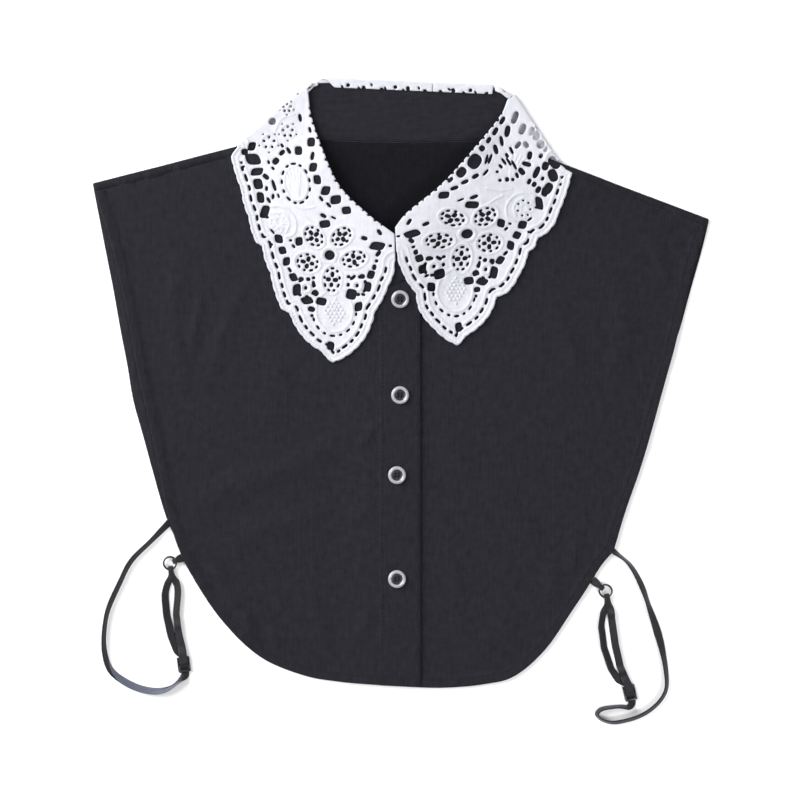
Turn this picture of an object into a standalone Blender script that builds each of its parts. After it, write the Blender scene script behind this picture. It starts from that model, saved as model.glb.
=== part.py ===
"""A detachable shirt collar: a black cotton bib with a white cord-lace collar, buttoned and laid flat.

The back panel lies on the table, the two fronts lie on it, and the lace collar folds over the neck
stand, so that its back half is the lowest layer and its front half the highest. +X runs to the
viewer's right, +Y from the hem to the collar and +Z up. Sizes are in millimetres and turn into
metres where a mesh is made.
"""

import math

import bmesh
import bpy
import numpy as np
from mathutils import Vector, geometry

MM = 0.001

# Walls, and the air between pieces that touch
CLOTH = 1.0
LACE = 1.2
GAP = 0.3
SEAM_GAP = 0.5
PLY = CLOTH + GAP

# Where the back panel rides over the hidden back half of the lace
RIDE_LIFT = LACE + GAP
RIDE_CENTRE = (0.0, 187.0)
RIDE_REACH = (132.0, 92.0)
RIDE_FADE = 0.3

# How the neck stand holds the fronts and the lace up at the front
NECK_RISE = 7.0
NECK_RISE_REACH = 58.0
NECK_RISE_SHOULDER = 32.0

# The buttoned overlap at the centre front
PLACKET_EDGE = 11.8
UNDERLAP_EDGE = -13.0
PLACKET_RAMP = 26.0
RAMP_TOP_LEFT = UNDERLAP_EDGE - 3.0
RAMP_TOP_RIGHT = PLACKET_EDGE + 1.0
RAMP_FROM = -178.0
RAMP_TO = 60.0
PLACKET_TOP = [(PLACKET_EDGE, 68.7), (4.0, 62.6)]
UNDERLAP_TOP = 61.0

# Shoulder fold lines, from the outer corner to the neck
CORNER_LEFT = (-192.2, 123.6)
NECK_LEFT = (-64.5, 156.0)
CORNER_RIGHT = (192.2, 101.2)
NECK_RIGHT = (67.6, 148.2)
# The back's strip that turns over each shoulder: how far it comes over, and how far its ends stay
# from the outer corner and from the neck
SHOULDER_TURN = 4.5
STRIP_FROM_CORNER = 1.0
STRIP_FROM_NECK = 6.5

# Armholes and hem of the fronts, from the shoulder down to the centre: x, y
FRONT_LEFT_SIDE = [
    (-189.4, 118.0), (-180.4, 88.0), (-173.0, 57.0), (-167.4, 29.4), (-162.4, 1.2), (-156.9, -21.7),
    (-150.7, -50.8), (-145.1, -79.4), (-137.6, -104.2), (-125.9, -126.5), (-109.7, -149.5),
    (-87.4, -170.5), (-62.0, -181.5), (-40.9, -185.6), (-13.0, -187.9), (PLACKET_EDGE, -189.0),
]
FRONT_RIGHT_ARMHOLE = [
    (189.6, 97.0), (181.7, 71.9), (175.2, 44.6), (169.3, 19.8), (162.4, -5.0), (155.6, -29.8),
    (148.2, -54.6), (139.5, -79.4), (131.8, -105.0),
]
FRONT_RIGHT_HEM = [
    (131.8, -105.0), (124.4, -113.6), (114.7, -129.0), (105.4, -143.0), (89.3, -166.2),
    (70.7, -182.3), (52.1, -187.4), (24.2, -189.7), (UNDERLAP_EDGE, -188.3),
]
# The back panel shows past the fronts at the armholes: x, y down to where it goes under them
BACK_LEFT_SHOWS = [
    (-183.5, 81.8), (-178.6, 57.0), (-174.2, 32.2), (-169.9, 9.9), (-166.2, -11.8), (-160.0, -34.1),
    (-154.6, -54.0), (-145.8, -84.0),
]
BACK_RIGHT_SHOWS = [(186.8, 81.8), (179.8, 57.0), (173.0, 32.2), (167.2, 17.0)]
HEM_INSET = 1.2
CORNER_EASE = 0.5
NECK_CORNER_TRIM = 1.5

# The neck seam and the roll line of the collar, from the centre front round to the shoulders: x, y
FRONT_SEAM_LEFT = [
    (-4.0, 60.0), (-17.0, 64.0), (-36.0, 77.0), (-54.0, 97.0), (-66.0, 118.0), (-70.0, 138.0),
    (-67.0, 151.0),
]
FRONT_ROLL_LEFT = [
    (-4.0, 91.0), (-20.5, 103.6), (-37.8, 120.9), (-48.4, 143.6), (-55.6, 164.6), (-57.6, 179.4),
]
FRONT_SEAM_RIGHT = [
    (-3.6, 60.0), (4.0, 64.0), (20.0, 78.0), (41.0, 97.0), (58.0, 115.0), (70.0, 132.0), (69.5, 143.5),
]
FRONT_ROLL_RIGHT = [
    (-3.6, 95.2), (4.3, 104.8), (24.6, 121.5), (45.9, 145.0), (61.6, 165.0), (66.2, 175.4),
]
BACK_SEAM = [NECK_LEFT, (-49.0, 151.0), (0.0, 149.0), (46.0, 150.0), NECK_RIGHT]
BACK_ROLL = [(-57.6, 181.4), (-52.4, 185.4), (0.0, 184.6), (58.0, 182.2), (66.4, 176.8)]
STAND_SIDE_LEFT = ((-65.4, 155.0), (-58.2, 181.0))
STAND_SIDE_RIGHT = ((68.5, 147.6), (67.0, 175.8))

# Lace: side fold from the collar to the outer edge, back fold, and the seam at the centre back
SIDE_FOLD_LEFT = ((-54.7, 185.2), (-101.4, 145.5))
SIDE_FOLD_RIGHT = ((69.7, 177.2), (96.4, 136.2))
BACK_FOLD = ((-53.0, 187.7), (60.0, 182.9))
CENTRE_BACK = 20.0
# The lip that turns over the stand: how far it comes over, and at each end its x and how far it slants
LACE_TURN = 4.4
LIP_LEFT = (-51.0, 5.0)
LIP_RIGHT = (58.0, -0.5)
LACE_LOW = LACE / 2
LACE_AIR = 0.45
SIDE_FOLD_RADIUS = (RIDE_LIFT + PLY + CLOTH + LACE_AIR) / 2
BACK_FOLD_RADIUS = (RIDE_LIFT + CLOTH + GAP) / 2

# Outer edge of each lace front from the side fold to the centre front: x, y, depth of the scallop after it
LACE_EDGE_LEFT = [
    (-105.6, 140.4, 0.6), (-99.2, 119.0, 0.8), (-94.6, 102.0, 0.9), (-89.6, 85.8, 0.0),
    (-86.2, 84.2, 0.9), (-81.2, 67.5, 0.9), (-74.4, 45.4, 0.4), (-69.4, 42.9, 0.9),
    (-60.8, 27.6, 0.7), (-49.0, 18.6, 0.8), (-42.2, 12.0, 1.2), (-26.7, 21.7, 1.0),
    (-18.0, 36.0, 0.3), (-16.1, 43.4, 0.8), (-7.6, 59.6, 1.0), (-3.5, 73.0, 0.5),
]
LACE_EDGE_RIGHT = [
    (106.2, 129.6, 0.7), (97.6, 103.8, 0.9), (92.2, 94.0, 0.8), (85.2, 89.6, 0.0),
    (83.7, 84.6, 0.4), (79.1, 80.4, 0.9), (73.2, 65.7, 0.9), (65.1, 54.6, 0.3),
    (59.5, 52.9, 0.9), (53.3, 39.1, 0.9), (40.0, 28.2, 0.8), (34.7, 22.7, 1.2),
    (19.8, 33.5, 0.9), (10.5, 45.9, 0.2), (9.0, 55.2, 0.8), (0.9, 67.6, 0.6), (-2.8, 79.0, 0.2),
]
# Outer edge of the hidden back half, from the side fold to the centre back: x, y, scallop
BACK_EDGE_LEFT = [
    (-98.0, 137.0, 1.0), (-84.0, 126.0, 1.0), (-66.0, 117.0, 1.0), (-45.0, 112.0, 1.0),
    (-23.0, 110.0, 1.0), (-1.5, 110.0, 1.0), (19.7, 111.0, 0.0),
]
BACK_EDGE_RIGHT = [
    (93.0, 133.0, 1.0), (80.0, 123.0, 1.0), (61.0, 115.0, 1.0), (41.0, 111.5, 1.0), (20.3, 111.0, 0.0),
]

# Gaps of more than 4 mm in the left lace front: x, y, width, height
LACE_GAPS = [
    (-55.6, 148.4, 4.3, 5.2), (-92.4, 146.0, 4.3, 4.8), (-63.4, 143.2, 4.1, 5.2),
    (-91.6, 138.0, 8.4, 6.4), (-54.2, 132.4, 4.3, 5.2), (-89.2, 130.2, 7.0, 4.3),
    (-51.6, 124.6, 4.2, 5.2), (-88.5, 122.6, 5.2, 6.1), (-46.4, 117.8, 5.0, 5.2),
    (-40.2, 112.2, 6.2, 5.0), (-87.0, 114.2, 4.2, 6.1), (-33.6, 105.6, 5.2, 4.3),
    (-84.4, 105.4, 4.8, 7.4), (-47.0, 97.4, 6.3, 4.2), (-75.8, 88.7, 4.7, 4.7),
    (-63.2, 87.0, 4.2, 4.7), (-14.6, 83.6, 8.4, 4.7), (-73.5, 81.6, 4.1, 4.3),
    (-44.2, 78.4, 5.9, 5.5), (-71.0, 74.8, 4.1, 4.7), (-18.6, 66.2, 4.1, 4.7),
    (-66.7, 65.0, 4.1, 4.7), (-20.6, 58.8, 4.1, 5.5), (-64.6, 57.2, 4.7, 6.6),
    (-30.8, 54.3, 6.0, 6.0), (-58.2, 50.6, 6.4, 4.4), (-49.4, 50.0, 6.0, 4.4),
    (-26.4, 46.6, 4.6, 5.0), (-43.6, 22.4, 4.2, 4.8),
]
# The same places on the two lace fronts, which lie at different angles: left x, y, right x, y
LACE_PAIRS = [
    (-42.2, 12.0, 34.7, 22.7), (-44.0, 78.4, 40.7, 91.5), (-41.9, 42.5, 34.4, 55.8),
    (-27.3, 59.5, 20.5, 71.3), (-59.2, 58.3, 52.7, 69.8), (-75.0, 102.3, 76.3, 110.7),
    (-64.5, 125.2, 71.3, 135.2), (-86.2, 83.7, 84.9, 89.9), (-69.4, 42.5, 59.5, 52.7),
    (-17.4, 39.7, 9.3, 50.8), (-4.3, 89.3, -4.0, 94.2), (-105.4, 145.7, 102.9, 133.9),
    (-57.7, 182.3, 70.1, 177.9), (-34.7, 115.3, 27.9, 124.0),
]

# Buttons down the placket
BUTTON_ACROSS = 11.2
BUTTON_PLACES = [(-0.6, 51.5), (-0.6, -8.1), (-2.5, -57.7), (-2.5, -122.1)]

# Side straps: flat elastic through a slider and round a ring that a short tab holds
STRAP_WIDE = 5.0
STRAP_GATHERED = 3.2
STRAP_THICK = 1.0
STRAP_LOW = STRAP_THICK / 2
STRAP_STEP = 3.6
STRAP_EDGEWISE = 45.0
STRAP_STACK = STRAP_THICK + 0.4
RING_WIRE = 0.6
RING_ACROSS = 9.0
RING_LIFT = STRAP_THICK + GAP + RING_WIRE
TURN_RADIUS = RING_WIRE + GAP + STRAP_LOW
TURN_OFF_CENTRE = 3.5
TAB_ROOT_HEIGHT = 1.8
SLIDER_WIDE = 7.8
SLIDER_LONG = 9.4
SLIDER_BAR = 1.3
SLIDER_RAIL = 1.0
SLIDER_TALL = 2.3
CENTRE_BAR_TALL = 0.9

# Loose run of each strap on the table, from the armhole to its slider: x, y
STRAP_LEFT_RUN = [
    (-146.0, -89.4), (-155.0, -98.6), (-167.4, -111.0), (-174.8, -125.2), (-181.6, -140.7),
    (-184.1, -153.8), (-184.1, -166.8), (-180.4, -178.6), (-171.7, -186.0), (-161.5, -190.6),
    (-151.9, -192.0), (-143.5, -191.6), (-136.4, -188.6),
]
STRAP_RIGHT_RUN = [
    (132.8, -105.7), (142.0, -113.4), (149.4, -126.5), (154.4, -140.7), (158.7, -153.1),
    (161.8, -164.3), (164.3, -177.6), (164.9, -189.1), (161.8, -196.6), (155.6, -203.0),
    (148.6, -207.2), (140.7, -209.9), (131.4, -211.4), (124.2, -209.4), (121.6, -206.0),
    (124.6, -203.4), (131.5, -203.4), (138.0, -205.2), (142.9, -205.0),
]
# Plan places of slider and ring, and the tab's root at the panel's edge
SLIDER_LEFT = (-134.9, -175.5)
RING_LEFT = (-143.5, -112.5)
TAB_LEFT = (-136.0, -109.2)
SLIDER_RIGHT = (142.2, -193.2)
RING_RIGHT = (127.1, -129.8)
TAB_RIGHT = (119.2, -123.2)
# The doubled strap: share of the way from slider to ring, then each run's offset from the straight line
DOUBLE_LEFT = [
    (0.13, -2.8, 0.4), (0.32, -5.4, -0.6), (0.54, -6.4, -0.4), (0.74, -5.8, 2.4), (0.84, -3.6, 2.6),
    (0.93, -0.6, 0.6),
]
DOUBLE_RIGHT = [
    (0.13, -4.4, -0.6), (0.28, -7.8, -2.0), (0.5, -9.1, -1.9), (0.73, -7.6, -0.6), (0.85, -4.4, 0.2),
    (0.93, -0.9, 0.0),
]

# Distances between points: in the lace, its edges and wide gaps, the panels round the neck, their
# outlines and where they lie flat
FINE = 7.0
FRONT_EDGE_STEP = 4.5
BACK_EDGE_STEP = 6.0
WIDE_GAP = 5.0
PANEL_FINE = 9.5
RAMP_FINE = 7.6
PANEL_EDGE_STEP = 14.0
SEAM_STEP = 9.0
COARSE = 28.5
# The panels are fine above this y, and as far from the centre front as this x
FINE_FROM = -6.0
FINE_ACROSS = 42.0


def smooth(value):
    value = min(max(value, 0.0), 1.0)
    return value * value * (3 - 2 * value)


def curve_through(points, spacing):
    """Points about this far apart on a smooth curve through the given ones, both ends kept."""
    points = [np.array(p, float) for p in points]
    ends = [2 * points[0] - points[1], *points, 2 * points[-1] - points[-2]]
    fine = []
    for a, b, c, d in zip(ends, ends[1:], ends[2:], ends[3:]):
        for t in np.linspace(0, 1, 12, endpoint=False):
            fine.append(
                0.5 * (2 * b + (c - a) * t + (2 * a - 5 * b + 4 * c - d) * t**2
                       + (3 * b - a - 3 * c + d) * t**3)
            )
    fine.append(points[-1])
    return spaced(fine, spacing)


def spaced(points, spacing):
    points = np.array(points)
    along = np.concatenate([[0], np.cumsum(np.linalg.norm(np.diff(points, axis=0), axis=1))])
    count = max(1, round(along[-1] / spacing))
    at = np.linspace(0, along[-1], count + 1)
    return [np.array([np.interp(s, along, column) for column in points.T]) for s in at]


def scalloped(rows, spacing, outside):
    """A run of shallow round lobes: each row is a notch and how far the lobe after it stands out.

    Outside is 1 where the lobes stand out to the left of the run, and -1 where they do to its right.
    """
    found = []
    for (x, y, depth), (next_x, next_y, _) in zip(rows, rows[1:]):
        start, run = np.array([x, y]), np.array([next_x - x, next_y - y])
        length = np.linalg.norm(run)
        out = outside * np.array([-run[1], run[0]]) / length
        count = max(1, round(length / spacing))
        for step in range(count):
            t = step / count
            found.append(start + run * t + out * depth * 4 * t * (1 - t))
    found.append(np.array(rows[-1][:2]))
    return found


def near_line(x, y, points):
    """The distance to a run of points, and on which side of its nearest stretch the place lies."""
    place = np.array([x, y])
    starts, ends = np.array(points[:-1], float), np.array(points[1:], float)
    runs = ends - starts
    t = np.clip(((place - starts) * runs).sum(1) / (runs * runs).sum(1), 0, 1)
    offs = place - (starts + runs * t[:, None])
    lengths = np.hypot(offs[:, 0], offs[:, 1])
    nearest = int(lengths.argmin())
    side = runs[nearest][0] * offs[nearest][1] - runs[nearest][1] * offs[nearest][0]
    return lengths[nearest], side


ROLL_LINE = curve_through(FRONT_ROLL_LEFT[::-1], 6.0) + curve_through(FRONT_ROLL_RIGHT, 6.0)
TOP_LEFT = [CORNER_LEFT, NECK_LEFT, (-59.6, 183.0), (-57.0, 195.0)]
TOP_RIGHT = [CORNER_RIGHT, NECK_RIGHT, (67.6, 177.0), (67.0, 195.0)]


def ride(x, y):
    """How far the back panel's underside stands off the table."""
    across = math.hypot((x - RIDE_CENTRE[0]) / RIDE_REACH[0], (y - RIDE_CENTRE[1]) / RIDE_REACH[1])
    return RIDE_LIFT * (1 - smooth((across - 1) / RIDE_FADE))


def neck_rise(x, y):
    """How far the stand lifts the front layers, most at the roll line and nothing at the shoulders."""
    reach, _ = near_line(x, y, ROLL_LINE)
    if reach >= NECK_RISE_REACH:
        return 0.0
    below = 1.0
    for line, side_wanted in ((TOP_LEFT, -1), (TOP_RIGHT, 1)):
        distance, side = near_line(x, y, line)
        below *= smooth(distance / NECK_RISE_SHOULDER) if side * side_wanted > 0 else 0.0
    return NECK_RISE * (1 - smooth(reach / NECK_RISE_REACH)) * below


def placket_rise(x):
    """The overlap of the two fronts lifts what lies on it."""
    left = smooth((x - RAMP_TOP_LEFT + PLACKET_RAMP) / PLACKET_RAMP)
    right = smooth((RAMP_TOP_RIGHT + PLACKET_RAMP - x) / PLACKET_RAMP)
    return PLY * left * right


def back_middle(x, y):
    return ride(x, y) + CLOTH / 2


def front_middle(x, y):
    return back_middle(x, y) + PLY + neck_rise(x, y)


def placket_middle(x, y):
    return front_middle(x, y) + PLY * smooth((x - RAMP_TOP_LEFT + PLACKET_RAMP) / PLACKET_RAMP)


def stand_middle(x, y):
    return front_middle(x, y) + placket_rise(x)


def lace_middle(x, y):
    return stand_middle(x, y) + CLOTH / 2 + LACE_AIR + LACE / 2


class Fold:
    """Turns cloth under or over along a straight line, in a half round of the given radius."""

    def __init__(self, line, inside, radius):
        self.start, end = (np.array(p, float) for p in line)
        self.length = np.linalg.norm(end - self.start)
        self.along = (end - self.start) / self.length
        self.out = np.array([-self.along[1], self.along[0]])
        if np.dot(np.array(inside) - self.start, self.out) > 0:
            self.out = -self.out
        self.radius = radius
        self.arc = math.pi * radius

    def past(self, place):
        return float(np.dot(np.array(place) - self.start, self.out))

    def beyond_end(self, place, past):
        """Cloth past the end of the fold lies flat on, as at a corner that isn't folded."""
        along = np.dot(np.array(place) - self.start, self.along)
        return past < 0.8 * self.arc and along > self.length + 0.1

    def foot(self, place):
        return np.array(place) - self.out * self.past(place)

    def lay(self, place):
        """Plan place, and how far round the turn it is: 0 before the fold, 1 after it."""
        past = self.past(place)
        if past <= 0 or self.beyond_end(place, past):
            return np.array(place, float), 0.0
        if past >= self.arc:
            return self.foot(place) - self.out * (past - self.arc), 1.0
        angle = past / self.radius
        return self.foot(place) + self.out * self.radius * math.sin(angle), (1 - math.cos(angle)) / 2

    def unfold(self, place):
        """Where a plan place on the folded side lies in the piece before it is folded."""
        return self.foot(place) + self.out * (self.arc - self.past(place))

    def rows(self, start, end, spacing, slant=0.0, steps=4):
        """Lines of points along the turn. Slant moves the end of each next one back a little."""
        start_s, end_s = (np.dot(np.array(p) - self.start, self.along) for p in (start, end))
        count = max(1, round(abs(end_s - start_s) / spacing))
        return [
            [
                self.start + self.along * s + self.out * self.arc * step / steps
                for s in np.linspace(start_s, end_s + slant * step / steps, count + 1)
            ]
            for step in range(steps + 1)
        ]


def inside(place, loop):
    x, y = place
    found = False
    for (ax, ay), (bx, by) in zip(loop, [*loop[1:], loop[0]]):
        if (ay > y) != (by > y) and x < ax + (y - ay) / (by - ay) * (bx - ax):
            found = not found
    return found


def clear_of(place, loops, distance):
    return all(near_line(*place, [*loop, loop[0]])[0] > distance for loop in loops)


def fill_points(outline, holes, pitch, spacing):
    """A staggered grid inside the outline, thinned where spacing asks for a longer pitch."""
    xs, ys = zip(*outline)
    found = []
    for row, y in enumerate(np.arange(min(ys), max(ys), pitch * 0.87)):
        for column, x in enumerate(np.arange(min(xs) + (row % 2) * pitch / 2, max(xs), pitch)):
            here = spacing(x, y) if spacing else pitch
            every = max(1, round(here / pitch))
            if row % every or (column + row // every % 2 * (every // 2)) % every:
                continue
            place = (x, y)
            if inside(place, outline) and clear_of(place, [outline], here * 0.55) and (
                not any(inside(place, hole) for hole in holes) and clear_of(place, holes, pitch * 0.3)
            ):
                found.append(place)
    return found


def material(name, colour, roughness):
    made = bpy.data.materials.new(name)
    made.use_nodes = True
    shader = made.node_tree.nodes["Principled BSDF"]
    shader.inputs["Base Color"].default_value = (*colour, 1)
    shader.inputs["Roughness"].default_value = roughness
    made.diffuse_color = (*colour, 1)
    return made


def add_solid(name, vertices, faces, finish):
    mesh = bpy.data.meshes.new(name)
    mesh.from_pydata([Vector(v) * MM for v in vertices], [], faces)
    shape = bmesh.new()
    shape.from_mesh(mesh)
    bmesh.ops.recalc_face_normals(shape, faces=shape.faces)
    shape.to_mesh(mesh)
    shape.free()
    mesh.materials.append(finish)
    made = bpy.data.objects.new(name, mesh)
    bpy.context.scene.collection.objects.link(made)
    return made


def thicken(middles, normals, faces, thickness):
    """Closes a sheet into a wall: a face on each side, and a rim round every open edge."""
    count = len(middles)
    half = thickness / 2
    vertices = [m + n * half for m, n in zip(middles, normals)]
    vertices += [m - n * half for m, n in zip(middles, normals)]
    edges = {}
    for face in faces:
        for a, b in zip(face, [*face[1:], face[0]]):
            edges[(a, b)] = True
    rim = [(b, a, a + count, b + count) for a, b in edges if (b, a) not in edges]
    under = [tuple(v + count for v in reversed(face)) for face in faces]
    return vertices, [*map(tuple, faces), *under, *rim]


def cloth(name, outline, place, thickness, finish, holes=(), rows=(), pitch=FINE, spacing=None):
    """A cloth wall. The outline, holes and fold rows are in the flat piece, and place puts it in space."""
    points, edges = [], []
    for loop in (outline, *holes):
        first = len(points)
        points += [tuple(p) for p in loop]
        edges += [(first + i, first + (i + 1) % len(loop)) for i in range(len(loop))]
    for row in rows:
        first = len(points)
        points += [tuple(p) for p in row]
        edges += [(first + i, first + i + 1) for i in range(len(row) - 1)]
    on_rows = [p for row in rows for p in row]
    outline = [tuple(p) for p in outline]
    holes = [[tuple(p) for p in hole] for hole in holes]
    for p in fill_points(outline, holes, pitch, spacing):
        if not on_rows or min(math.dist(p, q) for q in on_rows) > pitch * 0.5:
            points.append(p)
    flat, _, triangles, *_ = geometry.delaunay_2d_cdt(
        [Vector(p) for p in points], edges, [], 0, 1e-4
    )
    faces = []
    for triangle in triangles:
        middle = sum((flat[i] for i in triangle), Vector((0, 0))) / 3
        if inside(middle, outline) and not any(inside(middle, hole) for hole in holes):
            faces.append(list(triangle))
    used = sorted({i for face in faces for i in face})
    order = {old: new for new, old in enumerate(used)}
    faces = [[order[i] for i in face] for face in faces]
    middles, normals = [], []
    step = 0.01
    for i in used:
        x, y = flat[i]
        east = place(x + step, y) - place(x - step, y)
        north = place(x, y + step) - place(x, y - step)
        normal = np.cross(east, north)
        middles.append(place(x, y))
        normals.append(normal / np.linalg.norm(normal))
    return add_solid(name, *thicken(middles, normals, faces, thickness), finish)


def grid_sheet(name, sections, thickness, finish):
    """A wall through equal rows of points, one row a section."""
    grid = np.array(sections)
    across = np.gradient(grid, axis=0)
    along = np.gradient(grid, axis=1)
    normals = np.cross(across, along)
    normals /= np.linalg.norm(normals, axis=2)[:, :, None]
    rows, columns = grid.shape[:2]
    faces = [
        [r * columns + c, (r + 1) * columns + c, (r + 1) * columns + c + 1, r * columns + c + 1]
        for r in range(rows - 1)
        for c in range(columns - 1)
    ]
    return add_solid(name, *thicken(grid.reshape(-1, 3), normals.reshape(-1, 3), faces, thickness), finish)


def shifted(points, distance):
    """The run moved to its left by this much."""
    points = np.array(points)
    along = np.gradient(points, axis=0)
    left = np.stack([-along[:, 1], along[:, 0]], 1) / np.linalg.norm(along, axis=1)[:, None]
    return list(points + left * distance)


def point_on(start, end, distance):
    start, end = np.array(start, float), np.array(end, float)
    return start + (end - start) / np.linalg.norm(end - start) * distance


def panel_spacing(x, y):
    """Fine where the layers ride over each other round the neck, coarse where they lie flat."""
    near_neck = neck_rise(x, y) > 0 or 0 < ride(x, y) < RIDE_LIFT or abs(x) < FINE_ACROSS
    return PANEL_FINE if near_neck and y > FINE_FROM else COARSE


def shoulder_fold(corner, neck):
    """The back panel's fold along a shoulder, its round edge on the shoulder line."""
    fold = Fold((corner, neck), (0, 0), PLY / 2)
    fold.start = fold.start - fold.out * (PLY / 2 + CLOTH / 2)
    return fold


def back_panel(finish):
    left, right = shoulder_fold(CORNER_LEFT, NECK_LEFT), shoulder_fold(CORNER_RIGHT, NECK_RIGHT)

    def place(x, y):
        fold = left if x < 0 else right
        (px, py), turned = fold.lay((x, y))
        if 0 < turned < 1:
            foot = fold.foot((x, y))
            return np.array([px, py, back_middle(*foot) + PLY * turned])
        return np.array([px, py, back_middle(px, py) + PLY * turned])

    def turned_edge(fold, corner, neck):
        """The strip that comes over the shoulder, as it lies before it is folded."""
        outer = fold.foot(point_on(corner, neck, STRIP_FROM_CORNER))
        inner = fold.foot(point_on(neck, corner, STRIP_FROM_NECK))
        rows = fold.rows(outer, inner, PANEL_EDGE_STEP)
        reach = fold.out * (fold.arc + SHOULDER_TURN)
        return rows, outer + reach, inner + reach

    rows_left, far_left, near_left = turned_edge(left, CORNER_LEFT, NECK_LEFT)
    rows_right, far_right, near_right = turned_edge(right, CORNER_RIGHT, NECK_RIGHT)
    hem = [
        np.array(p) * (1 - HEM_INSET / np.linalg.norm(p))
        for p in [*FRONT_LEFT_SIDE[8:], *FRONT_RIGHT_HEM[::-1][1:]]
    ]
    armhole_right = [
        np.array(p) - (HEM_INSET, 0) for p in FRONT_RIGHT_ARMHOLE[4:][::-1]
    ]
    left_side = [rows_left[0][0] - (CORNER_EASE, 0), *BACK_LEFT_SHOWS, *hem[:8]]
    right_side = [*BACK_RIGHT_SHOWS[::-1], rows_right[0][0] + (CORNER_EASE, 0)]
    outline = [
        *curve_through(left_side, PANEL_EDGE_STEP),
        *curve_through([hem[7], *hem[8:-1]], PANEL_EDGE_STEP)[1:],
        *curve_through([hem[-1], *armhole_right[1:], *right_side], PANEL_EDGE_STEP),
        *[row[0] for row in rows_right],
        far_right,
        near_right,
        *[row[-1] for row in rows_right[::-1]],
        *shifted(curve_through(BACK_SEAM[::-1], SEAM_STEP), SEAM_GAP)[1:-1],
        *[row[-1] for row in rows_left],
        near_left,
        far_left,
        *[row[0] for row in rows_left[::-1]],
    ]
    return cloth("back_panel", outline, place, CLOTH, finish, rows=[*rows_left, *rows_right],
                 pitch=PANEL_FINE, spacing=panel_spacing)


def front_top(corner, neck, seam, outward):
    """The front's neck edge and its shoulder edge, which meets the turned strip of the back."""
    fold = shoulder_fold(corner, neck)
    level = -SHOULDER_TURN - GAP
    neck_edge = [p for p in shifted(curve_through(seam, FINE), outward * SEAM_GAP)
                 if fold.past(p) < level - NECK_CORNER_TRIM]
    last = neck_edge[-1] + (neck_edge[-1] - neck_edge[-2])
    inner = fold.foot(last) + fold.out * level
    outer = fold.foot(point_on(corner, neck, STRIP_FROM_CORNER)) + fold.out * level
    return neck_edge, inner, outer


def front_left(finish):
    """The upper front, with the placket's folded edge at the centre."""
    seam, inner, outer = front_top(CORNER_LEFT, NECK_LEFT, FRONT_SEAM_LEFT, 1)
    outline = [
        *curve_through([outer, *FRONT_LEFT_SIDE[1:]], PANEL_EDGE_STEP),
        *spaced([FRONT_LEFT_SIDE[-1], PLACKET_TOP[0]], FINE)[1:],
        *PLACKET_TOP[1:],
        *seam,
        *spaced([inner, outer], FINE)[:-1],
    ]
    ramp = []
    for share in (0, 0.5, 1):
        x = RAMP_TOP_LEFT - PLACKET_RAMP * share
        low, middle, high = ((x, y) for y in (RAMP_FROM, FINE_FROM, RAMP_TO))
        ramp.append([*spaced([low, middle], COARSE), *spaced([middle, high], RAMP_FINE)[1:]])
    return cloth("front_left", outline, lambda x, y: np.array([x, y, placket_middle(x, y)]), CLOTH,
                 finish, rows=ramp, pitch=PANEL_FINE, spacing=panel_spacing)


def front_right(finish):
    """The lower front, whose underlap lies beneath the placket."""
    seam, inner, outer = front_top(CORNER_RIGHT, NECK_RIGHT, FRONT_SEAM_RIGHT, -1)
    outline = [
        *spaced([(UNDERLAP_EDGE, UNDERLAP_TOP), FRONT_RIGHT_HEM[-1]], FINE),
        *curve_through(FRONT_RIGHT_HEM[::-1], PANEL_EDGE_STEP)[1:],
        *curve_through([*FRONT_RIGHT_ARMHOLE[::-1][:-1], outer], PANEL_EDGE_STEP)[1:],
        *spaced([outer, inner], FINE)[1:],
        *seam[::-1],
    ]
    return cloth("front_right", outline, lambda x, y: np.array([x, y, front_middle(x, y)]), CLOTH,
                 finish, pitch=PANEL_FINE, spacing=panel_spacing)


def collar_stand(finish):
    """A band from the neck seam to the roll line, folded flat at the two shoulders."""
    steps = np.linspace(0, 1, 6)

    def section(seam, roll, height):
        plan = [np.array(seam) * (1 - t) + np.array(roll) * t for t in steps]
        return [np.array([x, y, height(x, y)]) for x, y in plan]

    def side_turn(seam, roll, outward):
        radius = PLY / 2
        run = np.array(roll, float) - np.array(seam)
        out = np.array([-run[1], run[0]]) / np.linalg.norm(run)
        out *= math.copysign(1, out[0] * outward)
        made = []
        for angle in (45, 90, 135):
            push = out * radius * math.sin(math.radians(angle))
            lift = radius * (1 + math.cos(math.radians(angle)))
            made.append(section(np.array(seam) + push, np.array(roll) + push,
                                lambda x, y: RIDE_LIFT + CLOTH / 2 + lift))
        return made

    def matched(seam, roll, count):
        seam, roll = curve_through(seam, 2.0), curve_through(roll, 2.0)
        pick = [round(t * (len(seam) - 1)) for t in np.linspace(0, 1, count)]
        pick_roll = [round(t * (len(roll) - 1)) for t in np.linspace(0, 1, count)]
        return [(seam[i], roll[j]) for i, j in zip(pick, pick_roll)]

    low = RIDE_LIFT + CLOTH / 2
    sections = [section(s, r, stand_middle) for s, r in matched(FRONT_SEAM_LEFT, FRONT_ROLL_LEFT, 17)]
    sections += side_turn(*STAND_SIDE_LEFT, -1)
    back = matched(BACK_SEAM, BACK_ROLL, 13)
    sections += [section(s, r, lambda x, y: low) for s, r in back]
    sections += side_turn(*STAND_SIDE_RIGHT, 1)[::-1]
    front = matched(FRONT_SEAM_RIGHT, FRONT_ROLL_RIGHT, 17)
    sections += [section(s, r, stand_middle) for s, r in front[::-1]]
    return grid_sheet("collar_stand", sections, CLOTH, finish)


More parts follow.
